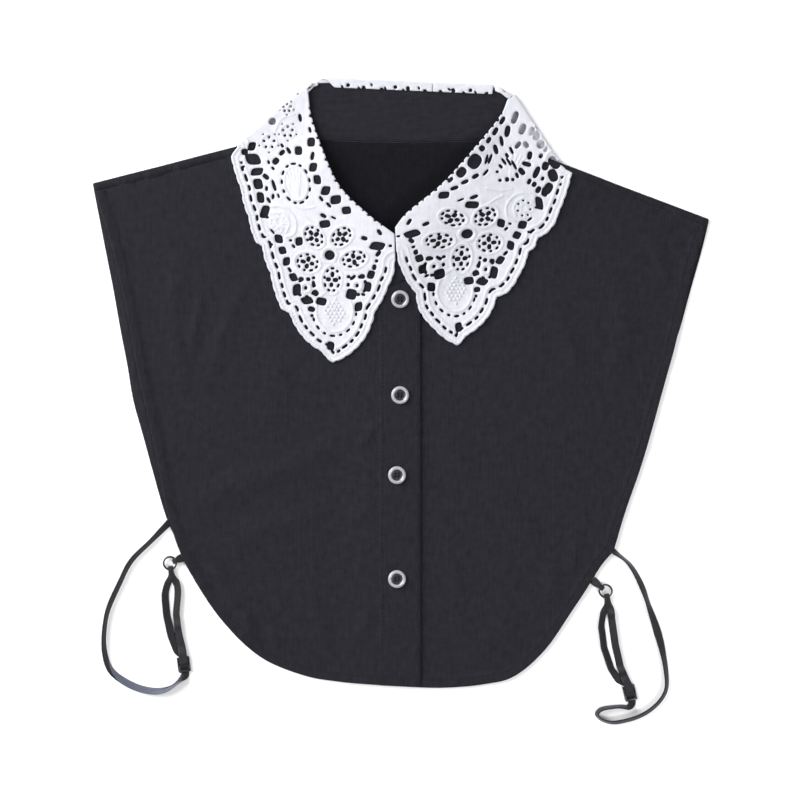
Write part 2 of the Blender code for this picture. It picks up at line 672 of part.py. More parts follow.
def warp(pairs):
    """A smooth map that takes each left place to its right one: a thin plate through the pairs."""
    pairs = np.array(pairs)
    left, right = pairs[:, :2], pairs[:, 2:]

    def bend(distance):
        return np.where(distance > 0, distance**2 * np.log(np.maximum(distance, 1e-9)), 0.0)

    count = len(left)
    system = np.zeros((count + 3, count + 3))
    system[:count, :count] = bend(np.linalg.norm(left[:, None] - left[None], axis=2))
    flat = np.c_[np.ones(count), left]
    system[:count, count:] = flat
    system[count:, :count] = flat.T
    weights = np.linalg.solve(system, np.r_[right, np.zeros((3, 2))])

    def take(x, y):
        reach = bend(np.linalg.norm(left - (x, y), axis=1))
        return np.r_[reach, 1, x, y] @ weights

    return take


def oval(centre, wide, high):
    """A small gap in the lace, as six or eight points."""
    sides = 8 if max(wide, high) > WIDE_GAP else 6
    return [
        np.array(centre) + np.array([math.cos(a) * wide / 2, math.sin(a) * high / 2])
        for a in np.arange(sides) * 2 * math.pi / sides
    ]


def lace_half(name, finish, outside, side_line, edge, roll, back_edge, gaps, centre_back, lip):
    """One half of the lace, from the centre front round the side fold to the centre back."""
    side = Fold(side_line, (0, 60), SIDE_FOLD_RADIUS)
    back = Fold(BACK_FOLD, (0, 60), BACK_FOLD_RADIUS)

    def place(x, y):
        plan, turned = side.lay((x, y))
        if turned < 1:
            high = lace_middle(*(side.foot((x, y)) if turned else plan))
            return np.array([*plan, high - 2 * SIDE_FOLD_RADIUS * turned])
        plan, over = back.lay(plan)
        return np.array([*plan, LACE_LOW + 2 * BACK_FOLD_RADIUS * over])

    top, bottom = (side.foot(p) for p in side_line)
    side_rows = side.rows(bottom, top, FINE)
    (lip_end, slant), back_y = lip, BACK_FOLD[0][1]
    lip_rows = back.rows((centre_back, back_y), (lip_end, back_y), FINE, slant)
    reach = back.out * LACE_TURN
    lip_edge = [lip_rows[-1][0] + reach, lip_rows[-1][-1] + reach + back.along * slant]
    under = [*scalloped(back_edge, BACK_EDGE_STEP, outside), *[row[0] for row in lip_rows],
             *spaced(lip_edge, FINE), *[row[-1] for row in lip_rows[::-1]]]
    outline = [
        *[row[-1] for row in side_rows[::-1]],
        *curve_through(roll[::-1], FINE),
        *scalloped(edge, FRONT_EDGE_STEP, outside)[::-1],
        *[row[0] for row in side_rows],
        *[side.unfold(p) for p in under],
    ]
    rows = [*side_rows, *[[side.unfold(p) for p in row] for row in lip_rows]]
    return cloth(name, outline, place, LACE, finish, holes=[oval(*gap) for gap in gaps], rows=rows)


def lace(finish):
    to_right = warp(LACE_PAIRS)
    gaps_left = [((x, y), wide, high) for x, y, wide, high in LACE_GAPS]
    gaps_right = [(tuple(to_right(x, y)), wide, high) for x, y, wide, high in LACE_GAPS]
    half = GAP / 2
    lace_half("lace_left", finish, -1, SIDE_FOLD_LEFT, LACE_EDGE_LEFT, FRONT_ROLL_LEFT,
              BACK_EDGE_LEFT, gaps_left, CENTRE_BACK - half, LIP_LEFT)
    lace_half("lace_right", finish, 1, SIDE_FOLD_RIGHT, LACE_EDGE_RIGHT, FRONT_ROLL_RIGHT,
              BACK_EDGE_RIGHT, gaps_right, CENTRE_BACK + half, LIP_RIGHT)


def turned(name, profile, sides, finish, centre, normal):
    """A turned solid: profile rows are radius and height, the first and last on the axis."""
    up = Vector(normal).normalized()
    spin = up.to_track_quat("Z", "Y").to_matrix()
    vertices, rings = [], []
    for radius, height in profile:
        steps = 1 if radius == 0 else sides
        rings.append(range(len(vertices), len(vertices) + steps))
        for k in range(steps):
            angle = 2 * math.pi * k / sides
            local = Vector((radius * math.cos(angle), radius * math.sin(angle), height))
            vertices.append(Vector(centre) + spin @ local)
    faces = []
    for low, high in zip(rings, rings[1:]):
        for k in range(sides):
            a, b = low[k % len(low)], low[(k + 1) % len(low)]
            c, d = high[(k + 1) % len(high)], high[k % len(high)]
            face = [v for i, v in enumerate((a, b, c, d)) if v not in (a, b, c, d)[:i]]
            faces.append(face)
    return add_solid(name, vertices, faces, finish)


def buttons(finish):
    radius = BUTTON_ACROSS / 2
    profile = [
        (0, 0), (radius - 0.9, 0), (radius, 0.9), (radius - 0.4, 1.9), (radius - 1.3, 2.3),
        (radius - 2.3, 1.9), (radius - 2.9, 1.2), (0, 1.2),
    ]
    step = 1.0
    for number, (x, y) in enumerate(BUTTON_PLACES, 1):
        slope_x = (placket_middle(x + step, y) - placket_middle(x - step, y)) / (2 * step)
        slope_y = (placket_middle(x, y + step) - placket_middle(x, y - step)) / (2 * step)
        normal = Vector((-slope_x, -slope_y, 1)).normalized()
        seat = Vector((x, y, placket_middle(x, y))) + normal * (CLOTH / 2 + GAP)
        turned(f"button_{number}", profile, 20, finish, seat, normal)


def tape(name, stations, finish):
    """Flat elastic: each station is its centre, the direction across it and its width."""
    centres, across, wides = (np.array(column, float) for column in zip(*stations))
    along = np.gradient(centres, axis=0)
    normals = np.cross(along, across)
    normals /= np.linalg.norm(normals, axis=1)[:, None]
    vertices = []
    for centre, side, normal, wide in zip(centres, across, normals, wides):
        reach, half = side * wide / 2, normal * STRAP_THICK / 2
        vertices += [centre - reach - half, centre + reach - half, centre + reach + half,
                     centre - reach + half]
    faces = [(3, 2, 1, 0), tuple(len(vertices) - 4 + i for i in range(4))]
    for first in range(0, len(vertices) - 4, 4):
        for i in range(4):
            j = (i + 1) % 4
            faces.append((first + i, first + j, first + 4 + j, first + 4 + i))
    return add_solid(name, vertices, faces, finish)


def strap(name, run, slider, ring, double, finish):
    """One side strap: the loose run, through the slider, round the ring and back on top of itself."""
    slider, ring = np.array(slider), np.array(ring)
    length = np.linalg.norm(ring - slider)
    ahead = (ring - slider) / length
    across = np.array([ahead[1], -ahead[0], 0.0])

    def on_axis(distance, offset, height):
        plan = slider + ahead * distance + across[:2] * offset
        return np.array([*plan, height])

    loose = curve_through([*run, slider - ahead * 6.4], STRAP_STEP)
    headings = np.gradient(np.array(loose), axis=0)
    stations = []
    for plan, heading in zip(loose, headings):
        side = np.array([heading[1], -heading[0], 0.0]) / np.linalg.norm(heading)
        stations.append((np.array([*plan, STRAP_LOW]), side, STRAP_WIDE))
    over_bar = CENTRE_BAR_TALL + GAP
    for distance in (-4.6, -3.3, -2.5, -1.7, -0.8, 0.8, 1.7, 2.5, 3.3, 4.6):
        lift = over_bar * smooth((3.3 - abs(distance)) / 2.5)
        stations.append((on_axis(distance, 0, STRAP_LOW + lift), across, STRAP_WIDE))

    turn_at = length - TURN_OFF_CENTRE
    offsets = [(5.8 / turn_at, -0.4, 0.4), *double, (1.0, 0.0, 0.0)]
    shares, first_run, second_run = zip(*offsets)
    steps = spaced([(share, 0) for share in (shares[0] + 0.03, 0.985)], STRAP_STEP / length)
    going, coming = [], []
    for share, _ in steps:
        first, second = np.interp(share, shares, first_run), np.interp(share, shares, second_run)
        apart = second - first
        tilt = math.radians(STRAP_EDGEWISE) * smooth((apart - 3.0) / 3.0)
        level = STRAP_LOW * math.cos(tilt) + STRAP_WIDE / 2 * math.sin(tilt)
        stack = STRAP_STACK * (1 - smooth((apart - 5.0) / 0.8))
        on_ring = smooth((share - 0.88) / 0.07)
        on_slider = smooth((0.2 - share) / 0.08)
        wide = STRAP_WIDE + (STRAP_GATHERED - STRAP_WIDE) * smooth((share - 0.8) / 0.12)
        down = np.array([0, 0, math.sin(tilt)])
        raised = max(STRAP_STACK, 2 * TURN_RADIUS * on_ring, (SLIDER_TALL + GAP) * on_slider)
        high = STRAP_LOW + raised if stack > 0.99 * STRAP_STACK else level + stack
        going.append((on_axis(share * turn_at, first, level), across * math.cos(tilt) - down, wide))
        coming.append((on_axis(share * turn_at, second, high), across * math.cos(tilt) + down, wide))
    stations += going
    for angle in (-90, -60, -30, 0, 30, 60, 90):
        turn = math.radians(angle)
        reach = turn_at + TURN_RADIUS * math.cos(turn)
        height = RING_LIFT + TURN_RADIUS * math.sin(turn)
        stations.append((on_axis(reach, 0, height), across, STRAP_GATHERED))
    stations += coming[::-1]
    top = SLIDER_TALL + GAP + STRAP_LOW
    stations += [(on_axis(distance, 0.2, top), across, STRAP_WIDE) for distance in (4.8, 2.6, 0.6)]
    return tape(name, stations, finish)


def tab(name, root, ring, finish):
    """The short tape, folded round the ring, whose two ends meet the edges of back and front."""
    root, ring = np.array(root), np.array(ring)
    ahead = (ring - root) / np.linalg.norm(ring - root)
    across = np.array([ahead[1], -ahead[0], 0.0])
    turn_at = np.linalg.norm(ring - root) - TURN_OFF_CENTRE

    def station(distance, height, wide):
        return np.array([*(root + ahead * distance), height]), across, wide

    stations = [station(0, STRAP_LOW, STRAP_WIDE), station(turn_at * 0.5, STRAP_LOW, 4.2),
                station(turn_at * 0.8, STRAP_LOW, STRAP_GATHERED)]
    for angle in (-90, -60, -30, 0, 30, 60, 90):
        turn = math.radians(angle)
        stations.append(station(turn_at + TURN_RADIUS * math.cos(turn),
                                RING_LIFT + TURN_RADIUS * math.sin(turn), STRAP_GATHERED))
    top = RING_LIFT + TURN_RADIUS
    stations += [station(turn_at * 0.8, top, STRAP_GATHERED),
                 station(turn_at * 0.4, (top + TAB_ROOT_HEIGHT) / 2, 4.2),
                 station(0, TAB_ROOT_HEIGHT, STRAP_WIDE)]
    return tape(name, stations, finish)


def box(low, high):
    """Corners and faces of a box."""
    corners = [(x, y, z) for x in (low[0], high[0]) for y in (low[1], high[1]) for z in (low[2], high[2])]
    return corners, [(0, 1, 3, 2), (4, 6, 7, 5), (0, 4, 5, 1), (2, 3, 7, 6), (0, 2, 6, 4), (1, 5, 7, 3)]


def slider_solid(name, centre, ring, finish):
    """Two side rails, a low bar that the strap passes over and two high bars that it passes under."""
    rail_in = SLIDER_WIDE / 2 - SLIDER_RAIL
    rail_end, bar_in = SLIDER_LONG / 2, SLIDER_LONG / 2 - SLIDER_BAR
    bar_low = STRAP_THICK + GAP
    run = np.array(ring) - np.array(centre)
    angle = math.atan2(run[1], run[0]) - math.pi / 2
    pieces = [((-SLIDER_WIDE / 2, -rail_end, 0), (-rail_in, rail_end, SLIDER_TALL)),
              ((rail_in, -rail_end, 0), (SLIDER_WIDE / 2, rail_end, SLIDER_TALL)),
              ((-rail_in - 0.5, -SLIDER_BAR / 2, 0.1), (rail_in + 0.5, SLIDER_BAR / 2, CENTRE_BAR_TALL)),
              ((-rail_in - 0.5, bar_in, bar_low), (rail_in + 0.5, rail_end - 0.1, SLIDER_TALL - 0.1)),
              ((-rail_in - 0.5, 0.1 - rail_end, bar_low), (rail_in + 0.5, -bar_in, SLIDER_TALL - 0.1))]
    turn = np.array([[math.cos(angle), -math.sin(angle)], [math.sin(angle), math.cos(angle)]])
    made = []
    for number, (low, high) in enumerate(pieces):
        corners, faces = box(low, high)
        placed = [(*(turn @ np.array(c[:2]) + centre), c[2]) for c in corners]
        made.append(add_solid(name if number == 0 else f"{name}_piece_{number}", placed, faces, finish))
    for piece in made[1:]:
        piece.hide_render = True
        piece.display_type = "WIRE"
        join = made[0].modifiers.new(piece.name, "BOOLEAN")
        join.operation = "UNION"
        join.object = piece
    return made[0]


def ring_solid(name, centre, finish):
    """A round wire ring that lies level."""
    around, about = 20, 6
    radius = RING_ACROSS / 2 - RING_WIRE
    vertices, faces = [], []
    for i in range(around):
        a = 2 * math.pi * i / around
        for j in range(about):
            b = 2 * math.pi * j / about
            reach = radius + RING_WIRE * math.cos(b)
            vertices.append((
                centre[0] + reach * math.cos(a),
                centre[1] + reach * math.sin(a),
                RING_LIFT + RING_WIRE * math.sin(b),
            ))
            here, far = i * about, (i + 1) % around * about
            k = (j + 1) % about
            faces.append((here + j, far + j, far + k, here + k))
    return add_solid(name, vertices, faces, finish)


def clear_scene():
    for item in list(bpy.data.objects):
        bpy.data.objects.remove(item)


def main():
    clear_scene()
    cotton = material("black cotton poplin", (0.03, 0.03, 0.036), 0.8)
    guipure = material("white polyester lace", (0.85, 0.85, 0.88), 0.75)
    pearl = material("grey pearl polyester", (0.5, 0.5, 0.54), 0.25)
    elastic = material("black plush elastic", (0.03, 0.03, 0.04), 0.6)
    enamel = material("black nylon-coated metal", (0.02, 0.02, 0.02), 0.25)
    back_panel(cotton)
    front_left(cotton)
    front_right(cotton)
    collar_stand(cotton)
    lace(guipure)
    buttons(pearl)
    for side, run, slider, ring, root, double in (
        ("left", STRAP_LEFT_RUN, SLIDER_LEFT, RING_LEFT, TAB_LEFT, DOUBLE_LEFT),
        ("right", STRAP_RIGHT_RUN, SLIDER_RIGHT, RING_RIGHT, TAB_RIGHT, DOUBLE_RIGHT),
    ):
        strap(f"strap_{side}", run, slider, ring, double, elastic)
        tab(f"tab_{side}", root, ring, elastic)
        slider_solid(f"slider_{side}", slider, ring, enamel)
        ring_solid(f"ring_{side}", ring, enamel)


main()
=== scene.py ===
"""The looks of a detachable collar: a black poplin bib with a white guipure lace collar, laid flat.

Sizes are in millimetres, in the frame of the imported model: +X to the viewer's right, +Y from the hem to
the collar and +Z up. They turn into metres where a mesh is made.
"""

import math

import bpy
import numpy as np
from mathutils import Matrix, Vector, geometry
from numpy.linalg import norm


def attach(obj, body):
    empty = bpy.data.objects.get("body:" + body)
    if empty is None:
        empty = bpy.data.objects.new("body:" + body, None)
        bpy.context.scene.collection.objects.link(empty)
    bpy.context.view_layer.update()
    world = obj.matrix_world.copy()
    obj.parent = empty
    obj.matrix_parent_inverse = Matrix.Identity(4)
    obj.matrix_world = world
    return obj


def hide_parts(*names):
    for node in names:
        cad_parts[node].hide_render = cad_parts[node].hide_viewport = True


bl_info = {
    "name": "Lace collar",
    "version": (1, 0, 0),
    "blender": (4, 5, 0),
    "location": "3D View > Sidebar > Lace collar",
    "description": "Makes a black poplin bib with a white guipure lace collar, laid flat",
    "category": "Add Mesh",
}

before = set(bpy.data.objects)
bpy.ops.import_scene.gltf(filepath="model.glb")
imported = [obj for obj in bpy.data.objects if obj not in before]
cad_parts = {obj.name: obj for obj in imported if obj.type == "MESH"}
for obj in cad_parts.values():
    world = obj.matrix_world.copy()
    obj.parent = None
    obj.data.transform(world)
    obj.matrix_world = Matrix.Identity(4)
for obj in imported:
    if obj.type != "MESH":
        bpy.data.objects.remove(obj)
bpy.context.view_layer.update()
MM = 0.001

# Walls of the solids that the shells lie in, and the air between them
CLOTH = 1.0
LACE = 1.2
GAP = 0.3
PLY = CLOTH + GAP

# Where the back panel rides over the hidden back half of the lace
RIDE_LIFT = LACE + GAP
RIDE_CENTRE = (0.0, 187.0)
RIDE_REACH = (132.0, 92.0)
RIDE_FADE = 0.3

# How the neck stand holds the fronts and the lace up at the front
NECK_RISE = 7.0
NECK_RISE_REACH = 58.0
NECK_RISE_SHOULDER = 32.0

# The buttoned overlap at the centre front
PLACKET_EDGE = 11.8
PLACKET_WIDE = 25.0
UNDERLAP_EDGE = -13.0
PLACKET_RAMP = 26.0
RAMP_TOP_LEFT = UNDERLAP_EDGE - 3.0
RAMP_TOP_RIGHT = PLACKET_EDGE + 1.0
PLACKET_TOP = [(PLACKET_EDGE, 68.7), (4.0, 62.6)]
UNDERLAP_TOP = 61.0

# Shoulder fold lines, from the outer corner to the neck
CORNER_LEFT = (-192.2, 123.6)
NECK_LEFT = (-64.5, 156.0)
CORNER_RIGHT = (192.2, 101.2)
NECK_RIGHT = (67.6, 148.2)
SHOULDER_TURN = 4.5
STRIP_FROM_CORNER = 1.0
STRIP_FROM_NECK = 6.5

# Armholes and hem of the fronts, from the shoulder down to the centre: x, y
FRONT_LEFT_SIDE = [
    (-189.4, 118), (-180.4, 88), (-173, 57), (-167.4, 29.4), (-162.4, 1.2), (-156.9, -21.7),
    (-150.7, -50.8), (-145.1, -79.4), (-137.6, -104.2), (-125.9, -126.5), (-109.7, -149.5),
    (-87.4, -170.5), (-62.0, -181.5), (-40.9, -185.6), (-13.0, -187.9), (PLACKET_EDGE, -189.0),
]
FRONT_RIGHT_ARMHOLE = [
    (189.6, 97), (181.7, 71.9), (175.2, 44.6), (169.3, 19.8), (162.4, -5), (155.6, -29.8),
    (148.2, -54.6), (139.5, -79.4), (131.8, -105),
]
FRONT_RIGHT_HEM = [
    (131.8, -105), (124.4, -113.6), (114.7, -129), (105.4, -143), (89.3, -166.2),
    (70.7, -182.3), (52.1, -187.4), (24.2, -189.7), (UNDERLAP_EDGE, -188.3),
]
BACK_LEFT_SHOWS = [
    (-183.5, 81.8), (-178.6, 57), (-174.2, 32.2), (-169.9, 9.9), (-166.2, -11.8), (-160, -34.1),
    (-154.6, -54), (-145.8, -84),
]
BACK_RIGHT_SHOWS = [(186.8, 81.8), (179.8, 57.0), (173.0, 32.2), (167.2, 17.0)]
HEM_INSET = 1.2
CORNER_EASE = 0.5

# The neck seam and the roll line of the collar, from the centre front round to the shoulders: x, y
FRONT_SEAM_LEFT = [
    (-4, 60), (-17, 64), (-36, 77), (-54, 97), (-66, 118), (-70, 138),
    (-67, 151),
]
FRONT_ROLL_LEFT = [
    (-4, 91), (-20.5, 103.6), (-37.8, 120.9), (-48.4, 143.6), (-55.6, 164.6), (-57.6, 179.4),
]
FRONT_SEAM_RIGHT = [
    (-3.6, 60), (4, 64), (20, 78), (41, 97), (58, 115), (70, 132), (69.5, 143.5),
]
FRONT_ROLL_RIGHT = [
    (-3.6, 95.2), (4.3, 104.8), (24.6, 121.5), (45.9, 145), (61.6, 165), (66.2, 175.4),
]
BACK_SEAM = [NECK_LEFT, (-49.0, 151.0), (0.0, 149.0), (46.0, 150.0), NECK_RIGHT]
BACK_ROLL = [(-57.6, 181.4), (-52.4, 185.4), (0.0, 184.6), (58.0, 182.2), (66.4, 176.8)]
STAND_SIDE_LEFT = ((-65.4, 155.0), (-58.2, 181.0))
STAND_SIDE_RIGHT = ((68.5, 147.6), (67.0, 175.8))
SEAM_GAP = 0.5

# Lace: side fold from the collar to the outer edge, back fold, and the seam at the centre back
SIDE_FOLD_LEFT = ((-54.7, 185.2), (-101.4, 145.5))
SIDE_FOLD_RIGHT = ((69.7, 177.2), (96.4, 136.2))
BACK_FOLD = ((-53.0, 187.7), (60.0, 182.9))
CENTRE_BACK = 20.0
LACE_TURN = 4.4
LIP_LEFT = (-51.0, 5.0)
LIP_RIGHT = (58.0, -0.5)
LACE_LOW = LACE / 2
LACE_AIR = 0.45
SIDE_FOLD_RADIUS = (RIDE_LIFT + PLY + CLOTH + LACE_AIR) / 2
BACK_FOLD_RADIUS = (RIDE_LIFT + CLOTH + GAP) / 2

# Outer edge of each lace front from the side fold to the centre front: x, y, depth of the scallop after it
LACE_EDGE_LEFT = [
    (-105.6, 140.4, 0.6), (-99.2, 119, 0.8), (-94.6, 102, 0.9), (-89.6, 85.8, 0),
    (-86.2, 84.2, 0.9), (-81.2, 67.5, 0.9), (-74.4, 45.4, 0.4), (-69.4, 42.9, 0.9),
    (-60.8, 27.6, 0.7), (-49, 18.6, 0.8), (-42.2, 12, 1.2), (-26.7, 21.7, 1),
    (-18, 36, 0.3), (-16.1, 43.4, 0.8), (-7.6, 59.6, 1), (-3.5, 73, 0.5),
]
LACE_EDGE_RIGHT = [
    (106.2, 129.6, 0.7), (97.6, 103.8, 0.9), (92.2, 94, 0.8), (85.2, 89.6, 0),
    (83.7, 84.6, 0.4), (79.1, 80.4, 0.9), (73.2, 65.7, 0.9), (65.1, 54.6, 0.3),
    (59.5, 52.9, 0.9), (53.3, 39.1, 0.9), (40, 28.2, 0.8), (34.7, 22.7, 1.2),
    (19.8, 33.5, 0.9), (10.5, 45.9, 0.2), (9, 55.2, 0.8), (0.9, 67.6, 0.6), (-2.8, 79, 0.2),
]
BACK_EDGE_LEFT = [
    (-98, 137, 1), (-84, 126, 1), (-66, 117, 1), (-45, 112, 1),
    (-23, 110, 1), (-1.5, 110, 1), (19.7, 111, 0),
]
BACK_EDGE_RIGHT = [
    (93, 133, 1), (80, 123, 1), (61, 115, 1), (41, 111.5, 1), (20.3, 111, 0),
]

# Gaps of more than 4 mm in the left lace front: x, y, width, height
LACE_GAPS = [
    (-55.6, 148.4, 4.3, 5.2), (-92.4, 146, 4.3, 4.8), (-63.4, 143.2, 4.1, 5.2),
    (-91.6, 138, 8.4, 6.4), (-54.2, 132.4, 4.3, 5.2), (-89.2, 130.2, 7, 4.3),
    (-51.6, 124.6, 4.2, 5.2), (-88.5, 122.6, 5.2, 6.1), (-46.4, 117.8, 5, 5.2),
    (-40.2, 112.2, 6.2, 5), (-87, 114.2, 4.2, 6.1), (-33.6, 105.6, 5.2, 4.3),
    (-84.4, 105.4, 4.8, 7.4), (-47, 97.4, 6.3, 4.2), (-75.8, 88.7, 4.7, 4.7),
    (-63.2, 87, 4.2, 4.7), (-14.6, 83.6, 8.4, 4.7), (-73.5, 81.6, 4.1, 4.3),
    (-44.2, 78.4, 5.9, 5.5), (-71, 74.8, 4.1, 4.7), (-18.6, 66.2, 4.1, 4.7),
    (-66.7, 65, 4.1, 4.7), (-20.6, 58.8, 4.1, 5.5), (-64.6, 57.2, 4.7, 6.6),
    (-30.8, 54.3, 6, 6), (-58.2, 50.6, 6.4, 4.4), (-49.4, 50, 6, 4.4),
    (-26.4, 46.6, 4.6, 5), (-43.6, 22.4, 4.2, 4.8),
]
# The same places on the two lace fronts, which lie at different angles: left x, y, right x, y
LACE_PAIRS = [
    (-42.2, 12, 34.7, 22.7), (-44, 78.4, 40.7, 91.5), (-41.9, 42.5, 34.4, 55.8),
    (-27.3, 59.5, 20.5, 71.3), (-59.2, 58.3, 52.7, 69.8), (-75, 102.3, 76.3, 110.7),
    (-64.5, 125.2, 71.3, 135.2), (-86.2, 83.7, 84.9, 89.9), (-69.4, 42.5, 59.5, 52.7),
    (-17.4, 39.7, 9.3, 50.8), (-4.3, 89.3, -4, 94.2), (-105.4, 145.7, 102.9, 133.9),
    (-57.7, 182.3, 70.1, 177.9), (-34.7, 115.3, 27.9, 124),
]

# Buttons down the placket
BUTTON_PLACES = [(-0.6, 51.5), (-0.6, -8.1), (-2.5, -57.7), (-2.5, -122.1)]

# Side straps: flat elastic through a slider and round a ring that a short tab holds
STRAP_WIDE = 5.0
STRAP_GATHERED = 3.2
STRAP_THICK = 1.0
STRAP_LOW = STRAP_THICK / 2
STRAP_STEP = 3.6
TAPE_STEPS = 4
STRAP_EDGEWISE = 30.0
STRAP_STACK = STRAP_THICK + 0.4
RING_WIRE = 0.6
RING_ACROSS = 9.0
RING_LIFT = STRAP_THICK + GAP + RING_WIRE
TURN_RADIUS = RING_WIRE + GAP + STRAP_LOW
TURN_OFF_CENTRE = 3.5
TAB_ROOT_HEIGHT = 1.8
TAB_WIDE = 4.8
SLIDER_WIDE = 7.8
SLIDER_LONG = 9.4
SLIDER_BAR = 1.3
SLIDER_RAIL = 1.0
SLIDER_TALL = 2.3
CENTRE_BAR_TALL = 0.9
STRAP_LEFT_RUN = [
    (-146, -89.4), (-155, -98.6), (-167.4, -111), (-174.8, -125.2), (-181.6, -140.7),
    (-184.1, -153.8), (-184.1, -166.8), (-180.4, -178.6), (-171.7, -186), (-161.5, -190.6),
    (-151.9, -192), (-144.4, -190.4), (-138.6, -186.4),
]
STRAP_RIGHT_RUN = [
    (132.8, -105.7), (142, -113.4), (149.4, -126.5), (154.4, -140.7), (158.7, -153.1),
    (161.8, -164.3), (164.3, -177.6), (164.9, -189.1), (161.8, -196.6), (155.6, -203),
    (148.6, -207.2), (140.7, -209.9), (131.4, -211.4), (124.2, -209.4), (121.6, -206),
    (124.6, -203), (131, -201.8), (136.6, -201.4), (141, -201.9),
]
SLIDER_LEFT = (-134.9, -175.5)
RING_LEFT = (-143.5, -112.5)
TAB_LEFT = (-136.0, -109.2)
SLIDER_RIGHT = (142.2, -193.2)
RING_RIGHT = (127.1, -129.8)
TAB_RIGHT = (119.2, -123.2)
DOUBLE_LEFT = [
    (0.13, -2.8, 0.4), (0.32, -5.4, -0.6), (0.54, -6.4, -0.4), (0.74, -5.8, 2.4), (0.84, -3.6, 2.6),
    (0.93, -0.6, 0.6),
]
DOUBLE_RIGHT = [
    (0.13, -4.4, -0.6), (0.28, -7.8, -2), (0.5, -9.1, -1.9), (0.73, -7.6, -0.6), (0.85, -4.4, 0.2),
    (0.93, -0.9, 0),
]

# Turned hems, stitches, and the painted shade inside the neck: a darker copy of the cloth on the back
# panel's top there
HEM_WIDE = 6.0
HEM_STEP = 0.45
STITCH_LONG = 2.1
STITCH_PITCH = 2.7
STITCH_THICK = 0.17
STITCH_SIDES = 6
STITCH_IN_HEM = 5.0
STITCH_IN_EDGE = 1.5
NECK_SHADE_FROM = 52.0
NECK_SHADE_REACH = 76.0

# The stand: its height, its cut with a turning, half its wall, and the sections along each stretch
STAND_HEIGHT = 33.0
STAND_HALF_WALL = 0.4
STAND_SECTIONS = 49

# Buttons: the pearly rim, painted lighter as a highlight, and the dish with its floor, four holes and thread
HIGHLIGHT_RIM_WIDE = 2.15
DISH_FLOOR = 1.25
DISH_INSET = 2.9
HOLE_PLACES = ((1, 1), (-1, 1), (-1, -1), (1, -1))
THREAD_RADIUS = 0.17

# Plan of the camera's view: millimetres to a pixel, and the middle of the view from the origin in pixels
VIEW_SCALE = 0.62
VIEW_MIDDLE = (-1, -18)
COLLAR_LEVEL = 4 * MM
PAPER_HALF = 3.0
PAPER_LEVEL = -0.05 * MM

# Creases of the fronts, as soft ridges: half width, height, and the points that each runs through
FRONT_CREASES = [
    (8, 1.3, [(-146, -92), (-122, -74), (-94, -61), (-63, -52), (-38, -37), (-22, -17)]),
    (7, 0.9, [(-118, -108), (-88, -92), (-60, -84), (-38, -72)]),
    (5, 0.8, [(-89, 73), (-106, 42), (-115, 14), (-125, -8)]),
    (6, 0.8, [(-132, 96), (-140, 60), (-139, 20), (-133, -20)]),
    (3, 0.9, [(-14, -22), (-20, -32), (-28, -44)]),
    (3.2, 0.8, [(-14, -72), (-23, -80), (-34, -91)]),
    (3.8, 0.9, [(-15, -138), (-24, -152), (-35, -168)]),
    (8, 0.8, [(-81, -30), (-78, -5), (-74, 24)]),
    (6, 1.3, [(-112, -126), (-101, -146), (-88, -166)]),
    (5, 1, [(-60, -120), (-52, -142), (-46, -168)]),
    (3, 1.5, [(-121, -112), (-112, -120), (-103, -124)]),
    (2.6, 1.3, [(-98, -140), (-94, -150), (-92, -160)]),
    (2.8, 1.2, [(-82, -150), (-78, -160), (-77, -168)]),
    (3, 1, [(-122, 60), (-128, 34), (-130, 10)]),
    (7, 1.1, [(40, -60), (66, -78), (92, -108)]),
    (5, 1.3, [(92, -108), (95, -126), (94, -144)]),
    (6, 1.1, [(62, -140), (66, -156), (70, -172)]),
    (4.5, 1, [(22, -30), (36, -48), (44, -66)]),
    (5.5, 1, [(88, 58), (104, 28), (112, -4)]),
    (7, 1, [(132, 74), (138, 36), (134, -6)]),
    (3.6, 0.8, [(26, -100), (34, -122), (36, -150)]),
    (4, 0.9, [(150, 96), (160, 78), (164, 54)]),
    (2.8, 1.2, [(52, -150), (54, -162), (58, -172)]),
    (3, 1.2, [(112, -96), (106, -112), (102, -124)]),
]
BACK_CREASES = [
    (9, 0.7, [(-120, 40), (-70, 10), (-10, 0), (50, 14)]),
    (7, 0.6, [(90, -20), (40, -60), (-20, -84), (-70, -80)]),
    (8, 0.7, [(-60, -120), (0, -132), (60, -118)]),
    (6, 0.6, [(110, 80), (130, 30), (120, -30)]),
    (6, 0.5, [(-140, 70), (-130, 20), (-118, -30)]),
]


def smooth(value):
    value = np.clip(value, 0, 1)
    return value * value * (3 - 2 * value)


def unit(ways):
    return ways / np.maximum(norm(ways, axis=-1, keepdims=True), 1e-12)


def distances_along(points):
    return np.concatenate([[0], np.cumsum(norm(np.diff(points, axis=0), axis=1))])


def spaced(points, spacing):
    """Points about this far apart along a run, both ends kept."""
    points = np.array(points, float)
    along = distances_along(points)
    count = max(1, round(along[-1] / spacing))
    at = np.linspace(0, along[-1], count + 1)
    return np.stack([np.interp(at, along, column) for column in points.T], 1)


def rounded_run(points, steps):
    """A smooth curve through the points, with this many steps from each to the next."""
    ends = np.vstack([2 * points[0] - points[1], points, 2 * points[-1] - points[-2]])
    fine = [
        0.5 * (2 * b + (c - a) * t + (2 * a - 5 * b + 4 * c - d) * t**2 + (3 * b - a - 3 * c + d) * t**3)
        for a, b, c, d in zip(ends, ends[1:], ends[2:], ends[3:])
        for t in np.linspace(0, 1, steps, endpoint=False)
    ]
    return np.vstack([*fine, points[-1]])


def curve_through(points, spacing):
    """Points about this far apart on a smooth curve through the given ones, both ends kept."""
    return spaced(rounded_run(np.array(points, float), 12), spacing)


